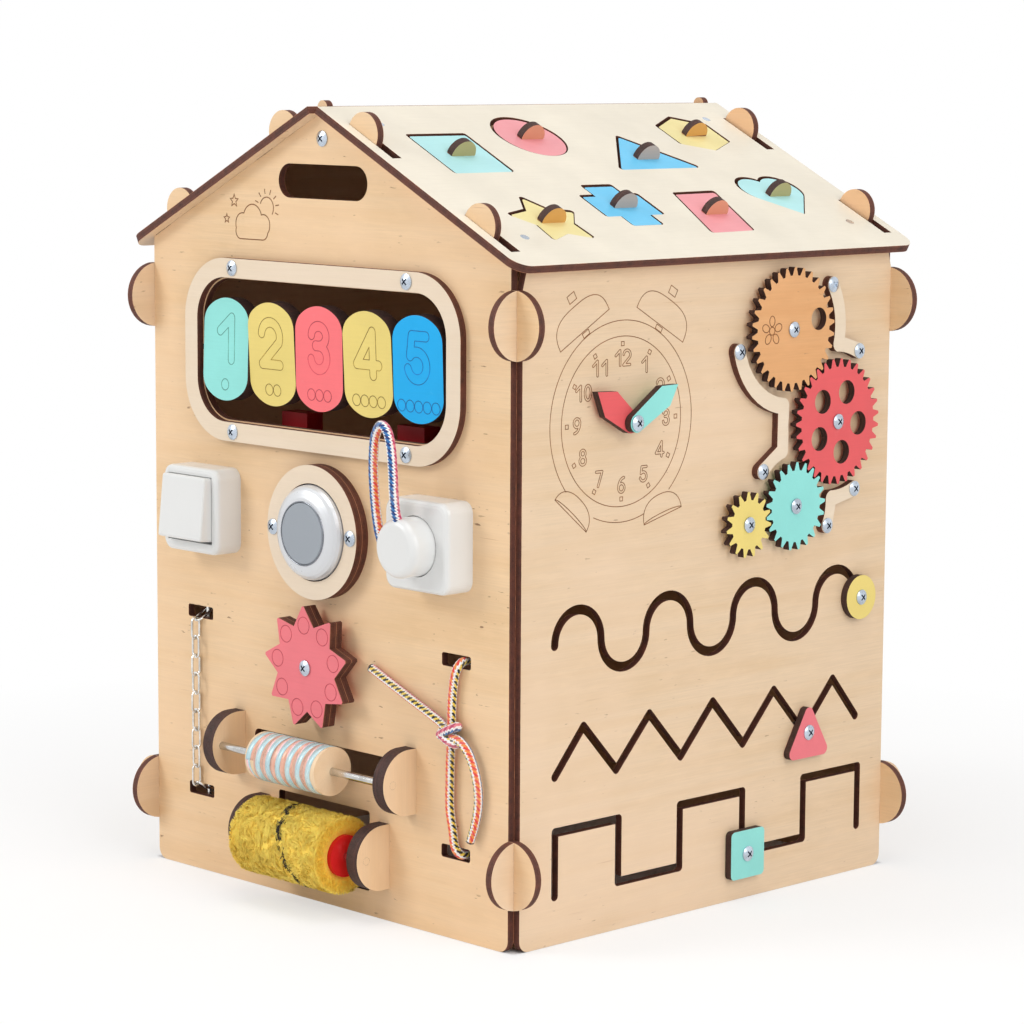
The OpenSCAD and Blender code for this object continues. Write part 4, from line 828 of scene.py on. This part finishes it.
def add_ribbons():
    salmon = satin("ribbon_salmon", (228, 176, 154), (220, 160, 136))
    # The near-white pink band is painted highlight: the foil's glints laid on as a band beside the real
    # pale blue one
    pink = satin("ribbon_pink_glint", (252, 206, 210), (240, 190, 176))
    blue = satin("ribbon_blue", (178, 212, 220), (200, 224, 226))
    wound_band("ribbon_salmon", salmon, 8.9, 9.2, -34.9, 34.9, 1, 0.01, 0.06)
    wound_band("ribbon_pink_glint", pink, 2.2, 11.6, -37.8, 37.8, -1, 0.07, 0.12)
    wound_band("ribbon_pale", blue, 2.2, 11.6, -35.6, 37.8, -1, 0.12, 0.16)
    wound_band("ribbon_blue", blue, 5.4, 11.6, -36.6, 36.6, 1, 0.17, 0.24)


# Fur: tapering strands, given by how far along and how thick their rings are, on a plump skin
STRAND = ((0.0, 0.38), (0.5, 0.35), (0.82, 0.24), (1.0, 0.05))


def side_strands(rng, count, clumps):
    """Roots and tips, as (along, turn, out), of the strands round the roller"""
    half = FUR_HALF
    centre = np.stack([rng.uniform(-half + 1, half - 1, clumps), rng.uniform(0, 2 * np.pi, clumps)], axis=1)
    lean = np.stack([rng.normal(0, 4.6, clumps), rng.normal(0, 0.16, clumps)], axis=1)
    reach = rng.uniform(29.8, 31.0, clumps)
    root = np.stack([rng.uniform(-half + 1.5, half - 1.5, count), rng.uniform(0, 2 * np.pi, count)], axis=1)
    away = root[:, None, :] - centre[None, :, :]
    away[..., 1] = (away[..., 1] + np.pi) % (2 * np.pi) - np.pi
    near = np.argmin(away[..., 0] ** 2 + (away[..., 1] * FUR_SKIN) ** 2, axis=1)
    pull = rng.uniform(0.0, 0.3, count)[:, None]
    tip = root - away[np.arange(count), near] * pull + lean[near] + rng.normal(0, (0.6, 0.02), (count, 2))
    tip[:, 0] = np.clip(tip[:, 0], -half + 0.3, half - 0.3)
    out = np.minimum(reach[near] - rng.exponential(0.4, count), FUR_REACH)
    return np.column_stack([root, np.full(count, FUR_SKIN - 0.4)]), np.column_stack([tip, out])


def end_strands(rng, count, end):
    """The same for the strands on one end, which lie outward from the middle"""
    turn = rng.uniform(0, 2 * np.pi, count)
    low = np.sqrt(rng.uniform(17.5 ** 2, 27 ** 2, count))
    root = np.column_stack([np.full(count, end * (FUR_HALF - 2.4)), turn, low])
    lift = FUR_HALF - rng.uniform(0.3, 1.5, count)
    return root, np.column_stack([end * lift, turn + rng.normal(0, 0.07, count),
                                  np.minimum(low + rng.uniform(3, 6.5, count), 30.2)])


def strand_points(root, tip):
    """Three points round every ring of each strand, in millimetres"""
    points = np.zeros((len(root), len(STRAND), 3, 3))
    for ring, (share, wide) in enumerate(STRAND):
        at = root + (tip - root) * np.array((share ** 1.4, share ** 1.4, share))
        for k, turn in enumerate(turns(3)):
            angle = at[:, 1] + wide * math.sin(turn) / at[:, 2]
            points[:, ring, k, 0] = at[:, 0] + wide * math.cos(turn)
            points[:, ring, k, 1] = ROLLER_Y - at[:, 2] * np.cos(angle)
            points[:, ring, k, 2] = FUR_Z + at[:, 2] * np.sin(angle)
    return points.reshape(-1, 3)


def skin_tube(inner, outer, half, around=96):
    """A closed sleeve along the roller's axis"""
    points = [(side * half, ROLLER_Y - r * math.cos(turn), FUR_Z + r * math.sin(turn))
              for turn in turns(around)
              for side, r in ((-1, inner), (1, inner), (1, outer), (-1, outer))]
    return np.array(points), tube_faces(around, 4, closed=True, flip=True)


def add_fur(count=18000, clumps=1500, at_ends=1900):
    rng = np.random.default_rng(11)
    sets = [side_strands(rng, count, clumps)] + [end_strands(rng, at_ends, end) for end in (-1, 1)]
    root, tip = (np.vstack(part) for part in zip(*sets))
    strand = tube_faces(len(STRAND), 3) + [(2, 1, 0), (9, 10, 11)]
    faces = [tuple(12 * i + k for k in face) for i in range(len(root)) for face in strand]
    turn = tip[:, 1]
    stripe = 6 + 6 * np.cos(turn) - 13 * np.sin(turn) + 0.9 * np.sin(turn * 7)
    dark = np.abs(tip[:, 0] - stripe) < rng.uniform(1.5, 3.0, len(root))
    shell = strand_points(root, tip)
    skin_points, skin_faces = skin_tube(FUR_CORE + 0.05, FUR_SKIN, FUR_HALF - 2)
    faces += [tuple(len(shell) + k for k in face) for face in skin_faces]
    indices = np.concatenate([np.repeat(dark.astype(int), len(strand)), np.zeros(len(skin_faces), int)])
    points = np.vstack([shell, skin_points]) * MM
    finishes = [
        pile("yellow_pile", (255, 206, 66), (255, 224, 104), (255, 208, 74)),
        pile("black_pile", (24, 20, 16), (40, 32, 22), (30, 26, 20)),
    ]
    fur = add_piece("fur", points, faces, finishes, "fur_roller", True, indices)
    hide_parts("fur_sleeve")


# Engraving: closed strips that stand a little proud of the surface that they are burnt into
LINE_RISE = 0.1


def strip_sides(line, half, closed):
    """The two edges of a line drawn through flat points, half wide each side"""
    line = np.asarray(line, float)
    if closed:
        before, after = line - np.roll(line, 1, axis=0), np.roll(line, -1, axis=0) - line
    else:
        steps = np.diff(line, axis=0)
        before, after = np.vstack([steps[:1], steps]), np.vstack([steps, steps[-1:]])
    before /= np.linalg.norm(before, axis=1)[:, None]
    after /= np.linalg.norm(after, axis=1)[:, None]
    way = before + after
    way /= np.linalg.norm(way, axis=1)[:, None]
    turn = np.clip((way * after).sum(axis=1), 0.5, 1)
    out = np.stack([-way[:, 1], way[:, 0]], axis=1) * (half / turn)[:, None]
    return line + out, line - out


def engrave(name, lines, place, body, finish, half=0.35):
    """lines are (flat points, closed) pairs, and place stands (across, up, out) in the scene"""
    points, faces = [], []
    for line, closed in lines:
        left, right = strip_sides(line, half, closed)
        start, count = len(points), len(left)
        for a, b in zip(left, right):
            for side, out in ((a, -LINE_RISE), (b, -LINE_RISE), (b, LINE_RISE), (a, LINE_RISE)):
                points.append(place(side[0], side[1], out))
        faces += tube_faces(count, 4, closed, start, flip=True)
        if not closed:
            faces.append(tuple(start + k for k in range(4)))
            faces.append(tuple(start + 4 * count - 1 - k for k in range(4)))
    return add_piece(name, points, faces, [FINISHES[finish]], body, False)


def arc(x, y, across, up, start, end, parts=28):
    angles = np.radians(np.linspace(start, end, parts + 1))
    return [(x + across * math.cos(t), y + up * math.sin(t)) for t in angles]


def ring(x, y, radius, parts=48):
    return (arc(x, y, radius, radius, 0, 360, parts)[:-1], True)


def outline(strokes, step=0.4):
    """Closed outlines round strokes, each given as its points and its half width"""
    ends = [(np.array(a, float), np.array(b, float), half)
            for line, half in strokes for a, b in zip(line[:-1], line[1:])]
    corners = np.array([p for line, _ in strokes for p in line], float)
    spare = max(half for _, half in strokes) + 3 * step
    low, high = corners.min(axis=0) - spare, corners.max(axis=0) + spare
    xs, ys = np.arange(low[0], high[0], step), np.arange(low[1], high[1], step)
    grid = np.stack(np.meshgrid(xs, ys, indexing="ij"), axis=-1)
    field = np.full(grid.shape[:2], np.inf)
    for a, b, half in ends:
        way = b - a
        share = np.clip((grid - a) @ way / max(way @ way, 1e-9), 0, 1)
        gap = np.linalg.norm(grid - a - share[..., None] * way, axis=-1) - half
        field = np.minimum(field, gap)
    return walk(field, xs, ys)


def crossing(edge, field, xs, ys):
    """The point where the field is zero on one edge of the grid"""
    (i, j), (p, q) = edge
    share = field[i, j] / (field[i, j] - field[p, q])
    return xs[i] + share * (xs[p] - xs[i]), ys[j] + share * (ys[q] - ys[j])


def walk(field, xs, ys):
    """Loops where a field changes sign on a grid"""
    inside = field < 0
    mixed = inside[:-1, :-1].astype(int) + inside[1:, :-1] + inside[:-1, 1:] + inside[1:, 1:]
    links = {}
    for i, j in zip(*np.nonzero((mixed > 0) & (mixed < 4))):
        a, b, c, d = (i, j), (i + 1, j), (i + 1, j + 1), (i, j + 1)
        edges = [e for e in ((a, b), (b, c), (d, c), (a, d)) if inside[e[0]] != inside[e[1]]]
        for one, other in zip(edges[::2], edges[1::2]):
            links.setdefault(one, []).append(other)
            links.setdefault(other, []).append(one)
    loops, done = [], set()
    for start in links:
        loop, here = [], start
        while here not in done:
            done.add(here)
            loop.append(crossing(here, field, xs, ys))
            here = next((edge for edge in links[here] if edge not in done), here)
        if len(loop) > 6:
            loops.append((spaced(loop, 0.3 * (xs[1] - xs[0])), True))
    return loops


def spaced(loop, gap):
    """A closed loop without the points that lie too near their neighbours"""
    kept = [loop[0]]
    for point in loop[1:]:
        if math.dist(point, kept[-1]) > gap and math.dist(point, kept[0]) > gap:
            kept.append(point)
    return kept


# Digits as the middle lines of their strokes, 32.5 mm tall
DIGITS = {
    "0": [arc(0, 0, 9.2, 16.25, 0, 360)],
    "1": [[(-7.2, 5.7), (6.3, 16.25), (6.8, -16.25)]],
    "2": [arc(-0.5, 5.6, 10.7, 10.7, 170, -25) + [(-11.5, -16.25), (9.3, -16.25)]],
    "3": [arc(0, 8.95, 8.3, 7.45, 175, -90), [(0, 1.5), (-3.5, 1.5)], arc(0, -7.45, 9, 8.95, 90, -170)],
    "4": [[(6.2, 16.25), (-12, -8.6), (12.2, -8.6)], [(6.2, 16.25), (5.9, -16.25)]],
    "5": [[(9.2, 16.25), (-5.8, 16.25), (-8.2, 1.2)] + arc(-0.8, -5.8, 10.2, 10.2, 128, -165)],
    "6": [arc(0, -6.6, 9.4, 9.65, 0, 360), arc(9.6, -6.6, 19, 22.85, 96, 180)],
    "7": [[(-9.6, 16.25), (9.4, 16.25), (-3.2, -16.25)]],
    "8": [arc(0, 8.6, 7.8, 7.65, 0, 360), arc(0, -7.6, 9.2, 8.65, 0, 360)],
    "9": [arc(0, 6.6, 9.4, 9.65, 0, 360), arc(-9.6, 6.6, 19, 22.85, -84, 0)],
}
DIGIT_STEP = 29.0


def digit_lines(word, x, y, scale=1.0, step=0.4, half=3.75):
    """Outlines of a number with its middle at x, y"""
    lines = []
    for place, digit in enumerate(word):
        shift = (place - (len(word) - 1) / 2) * DIGIT_STEP
        strokes = [([(px + shift, py) for px, py in line], half) for line in DIGITS[digit]]
        for loop, closed in outline(strokes, step):
            lines.append(([(x + scale * px, y + scale * py) for px, py in loop], closed))
    return lines


def on_front(across, up, out):
    return vec(across, -HALF_D - out, up)


def on_side(across, up, out):
    return vec(SIDE_X + out, across, up)


def raised(place, height):
    """The same surface, but further out"""
    return lambda across, up, out: place(across, up, height + out)


def on_card(number, face):
    """A card's front face, or the back one that shows after half a turn about its rod"""
    turn = math.radians(CARD_TILTS[number - 1] + (0 if face > 0 else 180))
    middle = (number - 3) * CARD_PITCH

    def place(across, up, out):
        deep = CARD_T / 2 + out
        rise = up * math.cos(turn) - deep * math.sin(turn)
        reach = up * math.sin(turn) + deep * math.cos(turn)
        return vec(middle + across, -HALF_D + ROD_IN - reach, WINDOW_Z + rise)

    return place


# The numeral and the counting circles of a card, from its middle
NUMERAL_UP = 8.5
DOT_PITCH = 9.3
DOT_UP = -27.5
DOT_R = 4.4


def add_card_lines():
    for number, colour in enumerate(("teal", "yellow", "pink", "yellow", "blue"), 1):
        lines = digit_lines(str(number), 0, NUMERAL_UP)
        lines += [ring((k - (number - 1) / 2) * DOT_PITCH, DOT_UP, DOT_R) for k in range(number)]
        for face, side in ((1, "front"), (-1, "back")):
            engrave(f"number_{number}_{side}", lines, on_card(number, face), f"card_{number}",
                    f"{colour}_line", 0.3)


def bell(base_a, base_b, rise, square=0.7, closed=True):
    """A dome on a slanting base line, squarer as square falls below one"""
    a, b = np.array(base_a, float), np.array(base_b, float)
    way = (b - a) / 2
    up = np.array((-way[1], way[0])) / np.linalg.norm(way) * rise
    line = []
    for turn in np.linspace(0, math.pi, 41):
        across = math.copysign(abs(math.cos(turn)) ** square, math.cos(turn))
        line.append(tuple((a + b) / 2 + way * across + up * abs(math.sin(turn)) ** square))
    return (line, closed)


def turned(points, x, y, degrees):
    """Points turned about the origin, then moved to x, y"""
    across, up = math.cos(math.radians(degrees)), math.sin(math.radians(degrees))
    return [(x + a * across - b * up, y + a * up + b * across) for a, b in points]


def turned_box(x, y, wide, tall, degrees):
    corners = [(-wide / 2, -tall / 2), (wide / 2, -tall / 2), (wide / 2, tall / 2), (-wide / 2, tall / 2)]
    return (turned(corners, x, y, degrees), True)


# Distances of the clock's rings, ticks and hours from its centre
CLOCK_R = 74.7
HOUR_RING_R = 63
TICKS_R = 57.4
HOURS_R = 47


def add_clock_lines():
    """An alarm clock: a double ring with ticks and hours, two bells with their stems, and two feet"""
    x, z = CLOCK
    lines = [(arc(x, z, CLOCK_R, CLOCK_R, start, end, parts), False)
             for start, end, parts in ((-47, 219.5, 90), (247, 289, 20))]
    lines.append(ring(x, z, HOUR_RING_R, 110))
    for hour in range(1, 13):
        degrees = 90 - 30 * hour
        number_at, tick_at = turned([(HOURS_R, 0), (TICKS_R, 0)], x, z, degrees)
        lines += digit_lines(str(hour), *number_at, 0.33, 0.9, 2.7)
        lines.append(turned_box(*tick_at, 3, 3, degrees))
    for side in (-1, 1):
        lines.append(bell((x + side * 64.4, z + 54.9), (x + side * 14.6, z + 83.4), -side * 21))
        lines.append(turned_box(x + side * 53.3, z + 93.4, 8, 6, -30 * side))
        lines.append(turned_box(x + side * 38.3, z + 66.7, 7, 3.5, -30 * side))
    for base_a, base_b, rise in (((-69, -52.2), (-36.7, -78.6), 15), ((24.8, -79.1), (65, -68.9), 17)):
        a, b = (x + base_a[0], z + base_a[1]), (x + base_b[0], z + base_b[1])
        lines.append(bell(a, b, rise, 0.85))
        lines.append(bell(a, b, 2.6, 1.0, False))
    engrave("clock_face", lines, on_side, "house", "engraved", 0.3)


def add_dial_lines(count=9, out=32.7, radius=6.5):
    """A circle on each point of the star dial"""
    lines = []
    for k in range(count):
        middle, = turned([(out, 0)], 0, STAR_Z, 93.4 + 360 / count * k)
        lines.append(ring(*middle, radius))
    engrave("dial_circles", lines, raised(on_front, STAR_FRONT), "star_dial", "pink_line", 0.28)


def star_line(x, y, size):
    """A five-pointed star"""
    line = []
    for k in range(10):
        out, turn = size if k % 2 == 0 else size * 0.45, math.pi * k / 5
        line.append((x + out * math.sin(turn), y + out * math.cos(turn)))
    return (line, True)


def add_sky_lines():
    """A cloud, a sun and two stars on the gable"""
    x, z = CLOUD
    sun_x, sun_z = x + 17, z + 13
    cloud = outline([([(x - 14, z - 6), (x + 12, z - 6)], 6), ([(x - 12, z - 1), (x - 12, z)], 8),
                     ([(x, z + 3), (x, z + 4)], 11), ([(x + 13, z - 1), (x + 13, z)], 7.5)])
    lines = cloud + [(arc(sun_x, sun_z, 8, 8, -38, 160), False)]
    for degrees in range(-20, 161, 30):
        lines.append((turned([(10.5, 0), (14.5, 0)], sun_x, sun_z, degrees), False))
    lines += [star_line(x - 22, z + 17, 5), star_line(x - 31, z + 3, 3.6)]
    engrave("sky_lines", lines, on_front, "house", "engraved", 0.4)


def add_flower_lines():
    """A five-petalled flower on the big gear"""
    x, z = BIG_GEAR[0] - 25, BIG_GEAR[1]
    petal = arc(7.5, 0, 4, 3, 0, 360, 24)[:-1]
    lines = [ring(x, z, 3)] + [(turned(petal, x, z, 90 + 72 * k), True) for k in range(5)]
    engrave("flower_lines", lines, raised(on_side, GEAR_FRONT), "big_gear", "engraved", 0.35)


add_rim()
add_ribbons()
add_fur()
add_card_lines()
add_clock_lines()
add_dial_lines()
add_sky_lines()
add_flower_lines()


# Floor, studio light and lamps
def seen_rays(tree):
    """One for rays from the camera, off a mirror or through glass, and nought for the rest"""
    path = tree.nodes.new("ShaderNodeLightPath")
    seen = path.outputs["Is Camera Ray"]
    for ray in ("Is Glossy Ray", "Is Transmission Ray"):
        most = tree.nodes.new("ShaderNodeMath")
        most.operation = "MAXIMUM"
        tree.links.new(seen, most.inputs[0])
        tree.links.new(path.outputs[ray], most.inputs[1])
        seen = most.outputs[0]
    return seen


def blend_shaders(tree, share, first, second, output):
    blend = tree.nodes.new("ShaderNodeMixShader")
    for place, socket in enumerate((share, first.outputs[0], second.outputs[0])):
        tree.links.new(socket, blend.inputs[place])
    tree.links.new(blend.outputs[0], tree.nodes[output].inputs[0])


def add_floor(reach=30.0, drop=0.0003):
    """A pale floor that glows where it is seen, more so further out, but not within the house"""
    floor = Finish("floor", Roughness=0.9)
    fine = floor.noise(3, 3.0)
    floor.set("Base Color", floor.mix(floor.spread(fine, 0.3, 0.7), [0.93] * 3 + [1], [0.95] * 3 + [1]))
    x, y = floor.from_middle()
    outside = floor.math("GREATER_THAN", floor.math("MAXIMUM", x, y), SIDE_X - 1)
    far = floor.distance(x, y)
    share = floor.math("MULTIPLY", seen_rays(floor.tree), floor.spread(far, 350, 900, 0.55, 1.0))
    share = floor.math("MULTIPLY", share, outside)
    glow = floor.tree.nodes.new("ShaderNodeEmission")
    blend_shaders(floor.tree, share, floor.shader, glow, "Material Output")
    mesh = bpy.data.meshes.new("floor")
    corners = [(-reach, -reach, 0), (reach, -reach, 0), (reach, reach, 0), (-reach, reach, 0)]
    mesh.from_pydata(corners, [], [(0, 1, 2, 3)])
    mesh.materials.append(floor.material)
    plane = new_object("floor", mesh)
    plane.location.z = -drop


def add_studio():
    """Soft light all round, behind a white background"""
    world = bpy.data.worlds.new("studio")
    bpy.context.scene.world = world
    world.use_nodes = True
    tree = world.node_tree
    light = tree.nodes["Background"]
    light.inputs["Color"].default_value = (1.0, 0.985, 0.97, 1)
    light.inputs["Strength"].default_value = 0.50
    white = tree.nodes.new("ShaderNodeBackground")
    white.inputs["Color"].default_value = (1, 1, 1, 1)
    blend_shaders(tree, seen_rays(tree), light, white, "World Output")


# Square lamps as name, place, aim, size and power, in metres and watts
LAMPS = (
    ("key", (-1.9, -3.0, 2.3), (0, 0, 0.3), 1.6, 57),
    ("side", (3.3, -0.5, 2.0), (0.1, 0, 0.3), 2.4, 56),
    ("top", (0.6, -0.6, 3.6), (0, 0, 0.3), 1.8, 30),
)


def add_lamp(name, place, aim, size, power):
    data = bpy.data.lights.new(name, "AREA")
    data.shape = "SQUARE"
    data.size = size
    data.energy = power
    lamp = new_object(name, data)
    way = (Vector(aim) - Vector(place)).to_track_quat("-Z", "Y")
    lamp.matrix_world = Matrix.Translation(place) @ way.to_matrix().to_4x4()


add_floor()
add_studio()
for row in LAMPS:
    add_lamp(*row)
bpy.context.scene.view_settings.view_transform = "Standard"
